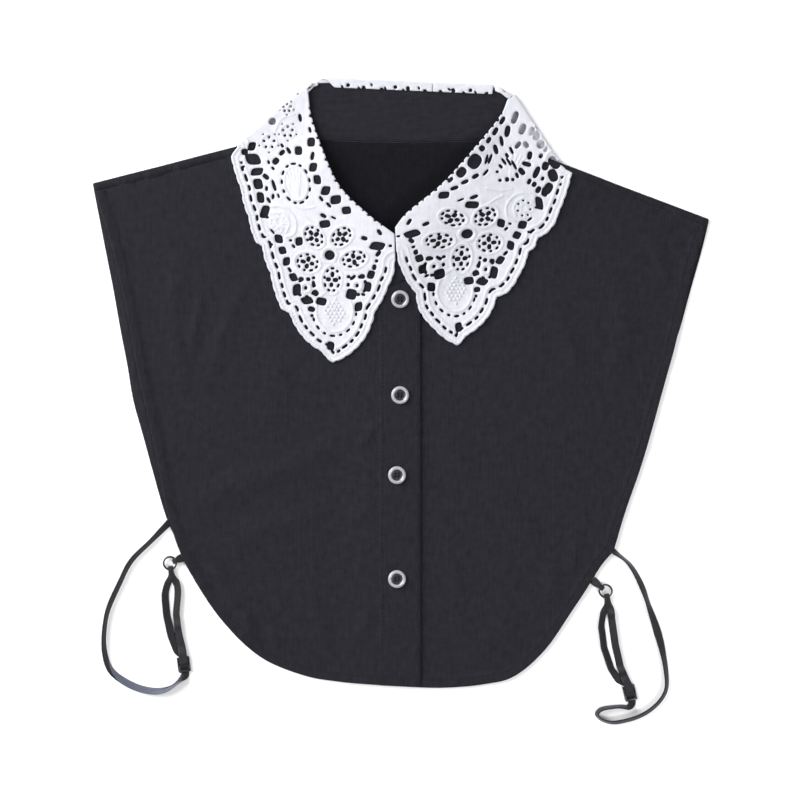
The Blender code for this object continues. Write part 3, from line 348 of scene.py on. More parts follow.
def scalloped(rows, spacing, outside):
    """A run of shallow round lobes, which stand out to its left where outside is 1."""
    found = []
    for (x, y, depth), (next_x, next_y, _) in zip(rows, rows[1:]):
        start, run = np.array([x, y]), np.array([next_x - x, next_y - y])
        length = norm(run)
        out = outside * np.array([-run[1], run[0]]) / length
        t = np.arange(max(1, round(length / spacing)))[:, None] / max(1, round(length / spacing))
        found.append(start + run * t + out * depth * 4 * t * (1 - t))
    return np.vstack([*found, rows[-1][:2]])


def nearest(places, run):
    """For each place: the distance to a run, its side of the run and how far along its foot lies."""
    run = np.array(run, float)
    starts, steps = run[:-1], np.diff(run, axis=0)
    lengths = norm(steps, axis=1)
    before = np.concatenate([[0], np.cumsum(lengths)[:-1]])
    found = np.empty((3, len(places)))
    for first in range(0, len(places), 8000):
        part = places[first:first + 8000]
        offs = part[:, None] - starts
        t = np.clip((offs * steps).sum(2) / (lengths**2), 0, 1)
        offs -= steps * t[..., None]
        distance = np.hypot(offs[..., 0], offs[..., 1])
        best = distance.argmin(1)
        rows = np.arange(len(part))
        off = offs[rows, best]
        found[0, first:first + 8000] = distance[rows, best]
        found[1, first:first + 8000] = steps[best, 0] * off[:, 1] - steps[best, 1] * off[:, 0]
        found[2, first:first + 8000] = before[best] + lengths[best] * t[rows, best]
    return found


def inside(places, loop):
    x, y = places[:, 0], places[:, 1]
    found = np.zeros(len(places), bool)
    for (ax, ay), (bx, by) in zip(loop, np.roll(loop, -1, axis=0)):
        if ay != by:
            found ^= ((ay > y) != (by > y)) & (x < ax + (y - ay) / (by - ay) * (bx - ax))
    return found


def shifted(points, distance):
    """The run moved to its left by this much."""
    points = np.array(points)
    along = np.gradient(points, axis=0)
    return points + unit(np.stack([-along[:, 1], along[:, 0]], 1)) * distance


def point_on(start, end, distance):
    start, end = np.array(start, float), np.array(end, float)
    return start + unit(end - start) * distance


def headed(start, end):
    """The way from start to end, the way to its right and the distance."""
    run = np.array(end) - np.array(start)
    ahead = unit(run)
    return ahead, np.array([ahead[1], -ahead[0]]), norm(run)


ROLL_LINE = np.vstack([curve_through(FRONT_ROLL_LEFT[::-1], 6.0), curve_through(FRONT_ROLL_RIGHT, 6.0)])
TOP_LEFT = [CORNER_LEFT, NECK_LEFT, (-59.6, 183.0), (-57.0, 195.0)]
TOP_RIGHT = [CORNER_RIGHT, NECK_RIGHT, (67.6, 177.0), (67.0, 195.0)]


def ride(places):
    """How far the back panel's underside stands off the table."""
    across = norm((places - RIDE_CENTRE) / RIDE_REACH, axis=1)
    return RIDE_LIFT * (1 - smooth((across - 1) / RIDE_FADE))


def neck_rise(places):
    """How far the stand lifts the front layers, most at the roll line and nothing at the shoulders."""
    below = np.ones(len(places))
    for line, side_wanted in ((TOP_LEFT, -1), (TOP_RIGHT, 1)):
        distance, side, _ = nearest(places, line)
        below *= np.where(side * side_wanted > 0, smooth(distance / NECK_RISE_SHOULDER), 0)
    return NECK_RISE * (1 - smooth(nearest(places, ROLL_LINE)[0] / NECK_RISE_REACH)) * below


def placket_lift(x):
    return PLY * smooth((x - RAMP_TOP_LEFT + PLACKET_RAMP) / PLACKET_RAMP)


def back_middle(places):
    return ride(places) + CLOTH / 2


def front_middle(places):
    return back_middle(places) + PLY + neck_rise(places)


def placket_middle(places):
    return front_middle(places) + placket_lift(places[:, 0])


def stand_middle(places):
    right = smooth((RAMP_TOP_RIGHT + PLACKET_RAMP - places[:, 0]) / PLACKET_RAMP)
    return front_middle(places) + placket_lift(places[:, 0]) * right


def lace_middle(places):
    return stand_middle(places) + CLOTH / 2 + LACE_AIR + LACE / 2


class Fold:
    """Turns cloth under or over along a straight line, in a half round of the given radius."""

    def __init__(self, line, inside_place, radius):
        self.start, end = (np.array(p, float) for p in line)
        self.length = norm(end - self.start)
        self.along = (end - self.start) / self.length
        self.out = np.array([-self.along[1], self.along[0]])
        if np.dot(np.array(inside_place) - self.start, self.out) > 0:
            self.out = -self.out
        self.radius = radius
        self.arc = math.pi * radius

    def past(self, places):
        return (places - self.start) @ self.out

    def foot(self, places):
        return places - np.multiply.outer(self.past(places), self.out)

    def lay(self, places):
        """Plan places, and how far round the turn they are: 0 before the fold, 1 after it."""
        past = self.past(places)
        along = (places - self.start) @ self.along
        flat = (past <= 0) | ((past < 0.8 * self.arc) & (along > self.length + 0.1))
        angle = np.clip(past / self.radius, 0, math.pi)
        reach = self.radius * np.sin(angle) - np.maximum(past - self.arc, 0)
        plan = self.foot(places) + np.multiply.outer(reach, self.out)
        return np.where(flat[:, None], places, plan), np.where(flat, 0.0, (1 - np.cos(angle)) / 2)

    def unfold(self, places):
        """Where plan places on the folded side lie in the piece before it is folded."""
        return self.foot(places) + np.multiply.outer(self.arc - self.past(places), self.out)

    def rows(self, start, end, spacing, slant=0.0, steps=4):
        """Lines of points along the turn. Slant moves the end of each next one back a little."""
        start_s, end_s = (np.dot(np.array(p) - self.start, self.along) for p in (start, end))
        count = max(1, round(abs(end_s - start_s) / spacing))
        return [
            self.start + self.out * self.arc * step / steps
            + np.multiply.outer(np.linspace(start_s, end_s + slant * step / steps, count + 1), self.along)
            for step in range(steps + 1)
        ]


def warp(pairs):
    """A smooth map that takes each left place to its right one: a thin plate through the pairs."""
    pairs = np.array(pairs)
    left, right = pairs[:, :2], pairs[:, 2:]

    def bend(distance):
        return np.where(distance > 0, distance**2 * np.log(np.maximum(distance, 1e-9)), 0.0)

    count = len(left)
    system = np.zeros((count + 3, count + 3))
    system[:count, :count] = bend(norm(left[:, None] - left[None], axis=2))
    flat = np.c_[np.ones(count), left]
    system[:count, count:] = flat
    system[count:, :count] = flat.T
    weights = np.linalg.solve(system, np.r_[right, np.zeros((3, 2))])

    def take(places):
        places = np.atleast_2d(places)
        reach = bend(norm(places[:, None] - left[None], axis=2))
        return np.c_[reach, np.ones(len(places)), places] @ weights

    return take


TO_RIGHT = warp(LACE_PAIRS)


def linear(code):
    """An sRGB hex value as the linear colour that Blender works in."""
    parts = (int(code[i:i + 2], 16) / 255 for i in (1, 3, 5))
    return tuple(c / 12.92 if c <= 0.04045 else ((c + 0.055) / 1.055) ** 2.4 for c in parts)


class ClothSettings(bpy.types.PropertyGroup):
    thickness: bpy.props.FloatProperty(
        name="Cloth thickness", description="One layer of the poplin", default=0.6 * MM, unit="LENGTH")
    creases: bpy.props.FloatProperty(
        name="Creases", description="How high the creases stand, as a share of the usual",
        default=1.0, subtype="FACTOR")
    colour: bpy.props.FloatVectorProperty(
        name="Poplin", description="Colour of the black cloth", default=linear("#18171F"), subtype="COLOR")
    thread: bpy.props.FloatVectorProperty(
        name="Sewing thread", description="Colour of the stitches", default=linear("#15151A"),
        subtype="COLOR")


class LaceSettings(bpy.types.PropertyGroup):
    ground: bpy.props.FloatProperty(
        name="Ground", description="Thickness of the flat part of the lace", default=0.8 * MM, unit="LENGTH")
    cord: bpy.props.FloatProperty(
        name="Cord", description="How far the cords stand out of the ground", default=0.6 * MM,
        unit="LENGTH")
    grid: bpy.props.FloatProperty(
        name="Fineness", description="Distance between the points of the lace", default=0.45 * MM,
        unit="LENGTH")
    colour: bpy.props.FloatVectorProperty(
        name="Lace", description="Colour of the lace thread", default=linear("#D3D4DC"), subtype="COLOR")


class ButtonSettings(bpy.types.PropertyGroup):
    across: bpy.props.FloatProperty(
        name="Button", description="Diameter of the buttons", default=11.2 * MM, unit="LENGTH")
    # The rim's colour is lighter than the button's smoke grey: a painted highlight
    pearl: bpy.props.FloatVectorProperty(
        name="Pearl", description="Colour of the pearly rim", default=linear("#98989F"), subtype="COLOR")


class StrapSettings(bpy.types.PropertyGroup):
    elastic: bpy.props.FloatVectorProperty(
        name="Elastic", description="Colour of the plush elastic", default=linear("#15141A"),
        subtype="COLOR")
    # The satin face's light slate blue is a painted sheen on the left strap's flat stretch
    satin_painted_sheen: bpy.props.FloatVectorProperty(
        name="Satin face", description="Colour of the elastic's shiny side", default=linear("#545969"),
        subtype="COLOR")
    enamel: bpy.props.FloatVectorProperty(
        name="Fittings", description="Colour of the rings and sliders", default=linear("#1B1B1E"),
        subtype="COLOR")


class StageSettings(bpy.types.PropertyGroup):
    lens: bpy.props.FloatProperty(
        name="Lens", description="Focal length of the camera", default=85.0, unit="CAMERA")
    view: bpy.props.FloatProperty(
        name="View", description="Width of the view at the collar", default=0.496, unit="LENGTH")
    floor: bpy.props.FloatVectorProperty(
        name="Floor", description="Colour of the paper floor", default=linear("#FBFBFC"), subtype="COLOR")


def add_node(tree, kind, values=None, **settings):
    """Adds a node. Values holds its inputs, as numbers to set or as sockets to link."""
    made = tree.nodes.new(kind)
    for name, value in settings.items():
        setattr(made, name, value)
    for socket, value in (values or {}).items():
        if isinstance(value, bpy.types.NodeSocket):
            tree.links.new(value, made.inputs[socket])
        else:
            made.inputs[socket].default_value = value
    return made


def new_finish(name, values):
    """A material with its shader's values set, its node tree and its shader."""
    made = bpy.data.materials.new(name)
    made.use_nodes = True
    tree = made.node_tree
    shader = tree.nodes["Principled BSDF"]
    for socket, value in values.items():
        shader.inputs[socket].default_value = value
    return made, tree, shader


def woven(name, colour, spacing, values, relief=0.25, patch=0.15):
    """Plain weave: over-and-under threads as a bump and as painted shade and highlight, with soft patches of
    lighter and darker cloth.
    """
    found = bpy.data.materials.get(name)
    if found:
        return found
    made, tree, shader = new_finish(name, values)
    flat = add_node(tree, "ShaderNodeUVMap", uv_map="cloth").outputs["UV"]
    waves = [
        add_node(tree, "ShaderNodeTexWave", {"Vector": flat, "Scale": math.pi / (10 * spacing * MM),
                                             "Distortion": 0.6, "Detail": 1.0},
                 wave_type="BANDS", bands_direction=way, wave_profile="SIN").outputs["Fac"]
        for way in "XY"
    ]
    threads = add_node(tree, "ShaderNodeMath", {0: waves[0], 1: waves[1]}, operation="MULTIPLY")
    lint = add_node(tree, "ShaderNodeTexNoise", {"Vector": flat, "Scale": 900.0, "Detail": 4.0})
    patches = add_node(tree, "ShaderNodeTexNoise", {"Vector": flat, "Scale": 240.0, "Detail": 8.0})
    long = add_node(tree, "ShaderNodeVectorMath", {0: flat, 1: (1.0, 0.16, 1.0)}, operation="MULTIPLY")
    slubs = add_node(tree, "ShaderNodeTexNoise", {"Vector": long.outputs[0], "Scale": 620.0,
                                                  "Detail": 3.0})
    uneven = add_node(tree, "ShaderNodeMath", {0: patches.outputs["Fac"], 1: slubs.outputs["Fac"]},
                      operation="ADD")
    fade = add_node(tree, "ShaderNodeMapRange", {"Value": uneven.outputs[0], "From Min": 0.7,
                                                 "From Max": 1.3, "To Min": 1 - patch, "To Max": 1 + patch})
    # Painted shade and highlight: the colour follows the threads' bump, darker between them and lighter on
    # them
    weave = add_node(tree, "ShaderNodeMapRange", {"Value": threads.outputs[0], "To Min": 0.75,
                                                  "To Max": 1.2})
    both = add_node(tree, "ShaderNodeMath", {0: fade.outputs[0], 1: weave.outputs[0]},
                    operation="MULTIPLY")
    tint = add_node(tree, "ShaderNodeVectorMath", {0: colour, "Scale": both.outputs[0]}, operation="SCALE")
    tree.links.new(tint.outputs[0], shader.inputs["Base Color"])
    height = add_node(tree, "ShaderNodeMath", {0: threads.outputs[0], 1: lint.outputs["Fac"]},
                      operation="ADD")
    bump = add_node(tree, "ShaderNodeBump", {"Height": height.outputs[0], "Strength": relief,
                                             "Distance": 0.3 * MM})
    tree.links.new(bump.outputs[0], shader.inputs["Normal"])
    return made


def clouded(name, colour, values, pattern, low, high, span=(0.0, 1.0), relief=0.0):
    """A smooth finish whose colour a soft cloud makes darker and lighter, with a bump if asked."""
    found = bpy.data.materials.get(name)
    if found:
        return found
    made, tree, shader = new_finish(name, values)
    cloud = add_node(tree, "ShaderNodeTexNoise", pattern).outputs["Fac"]
    share = add_node(tree, "ShaderNodeMapRange", {"Value": cloud, "From Min": span[0], "From Max": span[1],
                                                  "To Min": low, "To Max": high})
    tint = add_node(tree, "ShaderNodeVectorMath", {0: colour, "Scale": share.outputs[0]}, operation="SCALE")
    tree.links.new(tint.outputs[0], shader.inputs["Base Color"])
    if relief:
        bump = add_node(tree, "ShaderNodeBump", {"Height": cloud, "Strength": relief, "Distance": 0.2 * MM})
        tree.links.new(bump.outputs[0], shader.inputs["Normal"])
    return made


def new_piece(name, vertices, faces, finish, flat, replaces=()):
    """A mesh object in metres that rides on the root. Flat holds each vertex's place in the flat piece."""
    mesh = bpy.data.meshes.new(name)
    mesh.from_pydata(np.asarray(vertices) * MM, [], faces)
    mesh.shade_smooth()
    mesh.materials.append(finish)
    corners = np.zeros(len(mesh.loops), np.int32)
    mesh.loops.foreach_get("vertex_index", corners)
    mesh.uv_layers.new(name="cloth").data.foreach_set("uv", (flat[corners] * MM).ravel())
    made = bpy.data.objects.new(name, mesh)
    bpy.context.scene.collection.objects.link(made)
    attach(made, "root")
    if replaces:
        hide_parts(*replaces)
    return made


def vertex_normals(points, faces):
    """Average normals of a mesh of triangles or of faces whose first corners aren't in line."""
    normals = np.zeros_like(points)
    for group in faces:
        group = np.asarray(group)
        across = points[group[:, 1]] - points[group[:, 0]]
        along = points[group[:, -1]] - points[group[:, 0]]
        normal = np.cross(across, along)
        for corner in group.T:
            np.add.at(normals, corner, normal)
    return unit(normals)


def shell(points, faces, over, under, bulge=0.3):
    """Closes a sheet into a thin wall. Over and under are the distances to its two sides, for the
    whole sheet or for each point.

    Faces are groups of equal faces. The rim has a middle row that stands out a little, so that it
    is round.
    """
    normals = vertex_normals(points, faces)
    count = len(points)
    over, under = np.broadcast_to(over, count), np.broadcast_to(under, count)
    top, low = points + normals * over[:, None], points - normals * under[:, None]
    edges = np.vstack([
        np.stack([group[:, i], group[:, (i + 1) % group.shape[1]]], 1)
        for group in faces for i in range(group.shape[1])
    ])
    keys = edges[:, 0] * count + edges[:, 1]
    rim = edges[~np.isin(edges[:, 1] * count + edges[:, 0], keys)]
    out = np.zeros((count, 3))
    run = points[rim[:, 1]] - points[rim[:, 0]]
    side = unit(np.cross(run, normals[rim[:, 0]]))
    np.add.at(out, rim[:, 0], side)
    np.add.at(out, rim[:, 1], side)
    on_rim = np.unique(rim)
    out = unit(out[on_rim]) * (bulge * (over + under)[on_rim])[:, None]
    middle = (top[on_rim] + low[on_rim]) / 2 + out
    place = np.zeros(count, int)
    place[on_rim] = 2 * count + np.arange(len(on_rim))
    a, b = rim.T
    walls = [np.stack([b, a, place[a], place[b]], 1),
             np.stack([place[b], place[a], a + count, b + count], 1)]
    vertices = np.vstack([top, low, middle])
    all_faces = [*faces, *[group[:, ::-1] + count for group in faces], *walls]
    return vertices, [f for group in all_faces for f in group.tolist()], on_rim


def wall_piece(name, points, faces, over, under, finish, flat, node, bulge=0.3):
    """A sheet closed into a thin wall, as a piece that stands for its node."""
    vertices, faces, rim = shell(points, faces, over, under, bulge)
    return new_piece(name, vertices, faces, finish, np.vstack([flat, flat, flat[rim]]), [node])


def declare_laid(outline):
    """Turns the outline of a piece that lies flat into an array and does nothing more with it."""
    outline = np.array(outline)


def ring_faces(rows, sides, closed=False):
    """Faces of a skin over rows of points that each go round once."""
    i, k = np.meshgrid(np.arange(rows if closed else rows - 1), np.arange(sides), indexing="ij")
    j, m = (i + 1) % rows, (k + 1) % sides
    return np.stack([i * sides + k, j * sides + k, j * sides + m, i * sides + m], -1).reshape(-1, 4)


def ring_ends(rows, sides):
    return [list(range(sides)), list(range((rows - 1) * sides, rows * sides))[::-1]]


def joined(parts):
    """Many small meshes, each its points and faces, as one."""
    points, faces = [], []
    for part, part_faces in parts:
        first = sum(map(len, points))
        faces += [[v + first for v in face] for face in part_faces]
        points.append(part)
    return np.vstack(points), faces


def flat_mesh(outline, pitch, rows, bands):
    """Triangles over a flat piece: its outline, rows at the given distances inside it and a fine fill."""
    outline = np.array(outline)
    points, edges = [outline], [(i, (i + 1) % len(outline)) for i in range(len(outline))]
    for row in rows:
        first = sum(map(len, points))
        points.append(row)
        edges += [(first + i, first + i + 1) for i in range(len(row) - 1)]
    closed = np.vstack([outline, outline[:1]])
    turn = np.sign(np.sum(closed[:-1, 0] * closed[1:, 1] - closed[1:, 0] * closed[:-1, 1]))
    for band in bands:
        ring = shifted(np.vstack([closed[-2], closed, closed[1]]), turn * band)[1:-2]
        ring = spaced(ring, pitch)
        points.append(ring[(nearest(ring, closed)[0] > 0.97 * band) & inside(ring, outline)])
    low, high = outline.min(0), outline.max(0)
    ys = np.arange(low[1], high[1], pitch * 0.87)
    xs = np.arange(low[0], high[0], pitch)
    grid = np.stack(np.meshgrid(xs, ys), -1)
    grid[1::2, :, 0] += pitch / 2
    grid = grid.reshape(-1, 2)
    grid = grid[inside(grid, outline)]
    grid = grid[nearest(grid, closed)[0] > bands[-1] + 0.6 * pitch]
    for row in rows:
        grid = grid[nearest(grid, row)[0] > 0.5 * pitch]
    points.append(grid)
    found = np.vstack(points)
    flat, _, triangles, *_ = geometry.delaunay_2d_cdt([Vector(p) for p in found], edges, [], 0, 1e-4)
    flat, triangles = np.array([tuple(p) for p in flat]), np.array(triangles)
    keep = inside(flat[triangles].mean(1), outline)
    used, triangles = np.unique(triangles[keep], return_inverse=True)
    return flat[used], triangles.reshape(-1, 3)


def creases(places, rows):
    """The height of soft ridges, each of its own width and height, that die out at their ends."""
    total = np.zeros(len(places))
    for wide, high, points in rows:
        run = curve_through(points, 5.0)
        near = np.all((places > run.min(0) - 3 * wide) & (places < run.max(0) + 3 * wide), axis=1)
        distance, _, along = nearest(places[near], run)
        length = distances_along(run)[-1]
        fade = smooth(along / (0.35 * length)) * smooth((length - along) / (0.35 * length))
        total[near] += high * fade * np.exp(-(distance / wide) ** 2)
    return total


def puckers(distance, along, seed):
    """Small uneven ripples that a hem's stitching draws up across the edge."""
    waves = (np.sin(along / 3.1 + seed) + np.sin(along / 5.3 + 2 * seed) + np.sin(along / 9.7 + 3 * seed))
    return 0.10 * (waves + 1.5) * np.exp(-(distance / 9.0) ** 2)


class CollarOperator:
    bl_options = {"REGISTER", "UNDO"}


def settings(name):
    return getattr(bpy.context.scene, "lace_collar_" + name)


def poplin():
    # Woven cotton, matt, with a fine plain weave. Threads of 0.3 mm are drawn 1.3 mm apart to show
    return woven("black cotton poplin", tuple(settings("cloth").colour), 1.3,
                 {"Roughness": 0.8, "Sheen Weight": 0.13, "Sheen Roughness": 0.4,
                  "Specular IOR Level": 0.2}, relief=0.5, patch=0.44)


def poplin_painted_neck_shade():
    # Painted shade: the same cloth, darkened where it lies in the recess inside the neck, rougher and with
    # no sheen
    return woven("black cotton poplin, painted neck shade", tuple(0.55 * c for c in settings("cloth").colour), 1.3,
                 {"Roughness": 0.95, "Specular IOR Level": 0.15}, relief=0.4, patch=0.3)


def hem_height(distance):
    """The turned hem is a second layer that ends in a soft step."""
    return HEM_STEP * (1 - smooth((distance - HEM_WIDE + 0.5) / 1.0))


def shoulder_fold(corner, neck):
    fold = Fold((corner, neck), (0, 0), PLY / 2)
    fold.start = fold.start - fold.out * (PLY / 2 + CLOTH / 2)
    return fold


def back_outline():
    left, right = shoulder_fold(CORNER_LEFT, NECK_LEFT), shoulder_fold(CORNER_RIGHT, NECK_RIGHT)

    def turned_edge(fold, corner, neck):
        outer = fold.foot(point_on(corner, neck, STRIP_FROM_CORNER))
        inner = fold.foot(point_on(neck, corner, STRIP_FROM_NECK))
        rows = fold.rows(outer, inner, 3.0)
        reach = fold.out * (fold.arc + SHOULDER_TURN)
        return rows, outer + reach, inner + reach

    rows_left, far_left, near_left = turned_edge(left, CORNER_LEFT, NECK_LEFT)
    rows_right, far_right, near_right = turned_edge(right, CORNER_RIGHT, NECK_RIGHT)
    hem = [
        np.array(p) * (1 - HEM_INSET / norm(p))
        for p in [*FRONT_LEFT_SIDE[8:], *FRONT_RIGHT_HEM[::-1][1:]]
    ]
    armhole_right = [np.array(p) - (HEM_INSET, 0) for p in FRONT_RIGHT_ARMHOLE[4:][::-1]]
    left_side = [rows_left[0][0] - (CORNER_EASE, 0), *BACK_LEFT_SHOWS, *hem[:8]]
    right_side = [*BACK_RIGHT_SHOWS[::-1], rows_right[0][0] + (CORNER_EASE, 0)]
    outline = [
        *curve_through(left_side, 3.0),
        *curve_through([hem[7], *hem[8:-1]], 3.0)[1:],
        *curve_through([hem[-1], *armhole_right[1:], *right_side], 3.0),
        *[row[0] for row in rows_right],
        *spaced([far_right, near_right], 3.0),
        *[row[-1] for row in rows_right[::-1]],
        *shifted(curve_through(BACK_SEAM[::-1], 3.0), SEAM_GAP)[1:-1],
        *[row[-1] for row in rows_left],
        *spaced([near_left, far_left], 3.0),
        *[row[0] for row in rows_left[::-1]],
    ]
    return outline, [*rows_left, *rows_right], left, right


class LACECOLLAR_OT_back_panel(CollarOperator, bpy.types.Operator):
    """Makes the back panel, which folds over both shoulders"""

    bl_idname = "lace_collar.back_panel"
    bl_label = "Back panel"

    def execute(self, context):
        cloth = settings("cloth")
        outline, rows, left, right = back_outline()
        flat, faces = flat_mesh(outline, 3.4, rows=rows, bands=(HEM_WIDE,))
        plan_left, turned_left = left.lay(flat)
        plan_right, turned_right = right.lay(flat)
        on_left = flat[:, 0] < 0
        plan = np.where(on_left[:, None], plan_left, plan_right)
        turned = np.where(on_left, turned_left, turned_right)
        feet = np.where(on_left[:, None], left.foot(flat), right.foot(flat))
        place = np.where(((turned > 0) & (turned < 1))[:, None], feet, plan)
        high = back_middle(place) + PLY * turned
        high += cloth.creases * creases(plan, BACK_CREASES) * (turned == 0)
        half = cloth.thickness / MM / 2
        made = wall_piece("back_cloth", np.c_[plan, high], [faces], half, half, poplin(), flat,
                          "back_panel")
        # The back panel's top faces inside the neck take the darker copy of the poplin, as painted shade
        made.data.materials.append(poplin_painted_neck_shade())
        middles = plan[faces].mean(1)
        painted_shade_faces = np.zeros(len(made.data.polygons), np.int32)
        painted_shade_faces[:len(faces)] = (middles[:, 1] > NECK_SHADE_FROM) & (np.abs(middles[:, 0]) < NECK_SHADE_REACH)
        made.data.polygons.foreach_set("material_index", painted_shade_faces)
        declare_laid(outline)
        box = np.array([(-200, -200), (200, -200), (200, 200), (-200, 200), (-200, -200)])
        strips = []
        for fold, corner, neck in ((left, CORNER_LEFT, NECK_LEFT), (right, CORNER_RIGHT, NECK_RIGHT)):
            ends = point_on(corner, neck, 3.0), point_on(neck, corner, STRIP_FROM_NECK + 1.0)
            strips.append(np.array([fold.foot(p) - fold.out * (SHOULDER_TURN - 1.3) for p in ends]))
        sew("shoulder_stitches", strips, box, lambda places: back_middle(places) + PLY + half)
        seam = shifted(curve_through(BACK_SEAM, 3.0), -1.8)
        sew("neck_stitches", [seam[1:-1]], box, lambda places: back_middle(places) + half)
        return {"FINISHED"}


def front_top(corner, neck, seam, outward):
    """The front's neck edge and its shoulder edge, which meets the turned strip of the back."""
    fold = shoulder_fold(corner, neck)
    level = -SHOULDER_TURN - GAP
    edge = shifted(curve_through(seam, 3.0), outward * SEAM_GAP)
    edge = edge[fold.past(edge) < level - 1.5]
    last = 2 * edge[-1] - edge[-2]
    inner = fold.foot(last) + fold.out * level
    outer = fold.foot(point_on(corner, neck, STRIP_FROM_CORNER)) + fold.out * level
    return edge, inner, outer, fold


LACE_LOOPS = [
    np.vstack([scalloped(LACE_EDGE_LEFT, 5.0, -1), curve_through(FRONT_ROLL_LEFT, 5.0)]),
    np.vstack([scalloped(LACE_EDGE_RIGHT, 5.0, 1), curve_through(FRONT_ROLL_RIGHT, 5.0)]),
]


def crease_room(places, fold):
    """Where a front is free to crease: away from the buttons, the lace and its shoulder seam."""
    room = np.ones(len(places))
    for loop in LACE_LOOPS:
        distance = nearest(places, np.vstack([loop, loop[:1]]))[0]
        room *= np.where(inside(places, loop), 0, smooth(distance / 14))
    for centre in BUTTON_PLACES:
        room *= smooth((norm(places - centre, axis=1) - 7) / 7)
    return room * smooth((-fold.past(places) - SHOULDER_TURN) / 16)


class LACECOLLAR_OT_fronts(CollarOperator, bpy.types.Operator):
    """Makes the two fronts, the left one with its placket over the right one"""

    bl_idname = "lace_collar.fronts"
    bl_label = "Fronts"

    def execute(self, context):
        seam, inner, outer, fold = front_top(CORNER_LEFT, NECK_LEFT, FRONT_SEAM_LEFT, 1)
        hemmed = curve_through([outer, *FRONT_LEFT_SIDE[1:]], 2.5)
        outline = [
            *hemmed,
            *spaced([FRONT_LEFT_SIDE[-1], PLACKET_TOP[0]], 2.5)[1:],
            *PLACKET_TOP[1:],
            *seam,
            *spaced([inner, outer], 2.5)[:-1],
        ]
        lines = [PLACKET_EDGE - PLACKET_WIDE, PLACKET_EDGE - PLACKET_WIDE + 1.0]
        rows = [spaced([(x, -180), (x, 60)], 3.0) for x in lines]
        self.front("front_left", outline, hemmed, placket_middle, fold, rows, True, 0.7)
        seam, inner, outer, fold = front_top(CORNER_RIGHT, NECK_RIGHT, FRONT_SEAM_RIGHT, -1)
        hemmed = curve_through(FRONT_RIGHT_HEM[::-1], 2.5)
        armhole = curve_through([*FRONT_RIGHT_ARMHOLE[:0:-1], outer], 2.5)
        outline = [
            *spaced([(UNDERLAP_EDGE, UNDERLAP_TOP), FRONT_RIGHT_HEM[-1]], 2.5)[:-1],
            *hemmed,
            *armhole[1:],
            *spaced([outer, inner], 2.5)[1:],
            *seam[::-1],
        ]
        hemmed = np.vstack([hemmed, armhole[1:]])
        self.front("front_right", outline, hemmed, front_middle, fold, [], False, 2.1)
        return {"FINISHED"}

    def front(self, node, outline, hemmed, middle, fold, rows, placket, seed):
        cloth = settings("cloth")
        flat, faces = flat_mesh(outline, 2.1, rows=rows, bands=(0.8, HEM_WIDE - 0.5, HEM_WIDE + 0.5))

        def level(places):
            distance, _, along = nearest(places, hemmed)
            high = middle(places) + hem_height(distance)
            if placket:
                inner = places[:, 0] - (PLACKET_EDGE - PLACKET_WIDE)
                high += HEM_STEP * smooth(inner / 1.0) * (1 - hem_height(distance) / HEM_STEP)
                free = 1 - smooth(inner / 4.0)
            else:
                free = smooth((places[:, 0] - PLACKET_EDGE - 1.0) / 14)
            room = crease_room(places, fold)
            high += cloth.creases * creases(places, FRONT_CREASES) * room * np.maximum(free, 0)
            return high + puckers(distance, along, seed) * room * free

        half = cloth.thickness / MM / 2
        made = wall_piece(node + "_cloth", np.c_[flat, level(flat)], [faces], half, half, poplin(), flat,
                          node)
        declare_laid(outline)
        rim = np.vstack([outline, outline[:1]])
        sewn = [shifted(hemmed, sign * STITCH_IN_HEM) for sign in (1, -1)]
        sewn = [row for row in sewn if inside(row[len(row) // 2][None], np.array(outline))[0]]
        if placket:
            for x in (PLACKET_EDGE - STITCH_IN_EDGE, PLACKET_EDGE - PLACKET_WIDE + STITCH_IN_EDGE):
                sewn.append(np.array([(x, -185.0), (x, 66.0)]))
        sew(node + "_stitches", sewn, rim, lambda places: level(places) + half)


def sew(name, runs, outline, level):
    """Rows of stitches along runs over a cloth, each a short tube that dips in at both ends."""
    centres, ways = [], []
    for run in runs:
        run = spaced(run, STITCH_PITCH)
        middle = (run[1:] + run[:-1]) / 2
        way = np.diff(run, axis=0)
        keep = inside(middle, outline) & (nearest(middle, outline)[0] > 0.8)
        centres.append(middle[keep])
        ways.append(unit(way[keep]))
    centres, ways = np.vstack(centres), np.vstack(ways)
    across = np.stack([-ways[:, 1], ways[:, 0]], 1)
    # Rings along a stitch: share of its length, how deep it dips and share of its thickness
    profile = ((-0.5, 0.16, 0.5), (-0.3, 0.0, 1.0), (0.3, 0.0, 1.0), (0.5, 0.16, 0.5))
    rings = []
    for share, sink, thick in profile:
        places = centres + ways * STITCH_LONG * share
        high = level(places) + STITCH_THICK * 0.6 - sink
        for angle in np.arange(STITCH_SIDES) * 2 * math.pi / STITCH_SIDES:
            off = across * STITCH_THICK * thick * math.cos(angle)
            rings.append(np.c_[places + off, high + STITCH_THICK * thick * math.sin(angle)])
    points = np.stack(rings, 1).reshape(-1, 3)
    first = np.arange(len(centres)) * len(rings)
    one = ring_faces(len(profile), STITCH_SIDES)[:, [1, 2, 3, 0]]
    faces = (one + first[:, None, None]).reshape(-1, 4).tolist()
    faces += [[i + v for v in end] for i in first.tolist() for end in ring_ends(len(profile), STITCH_SIDES)]
    return new_piece(name, points, faces, thread(), points[:, :2])


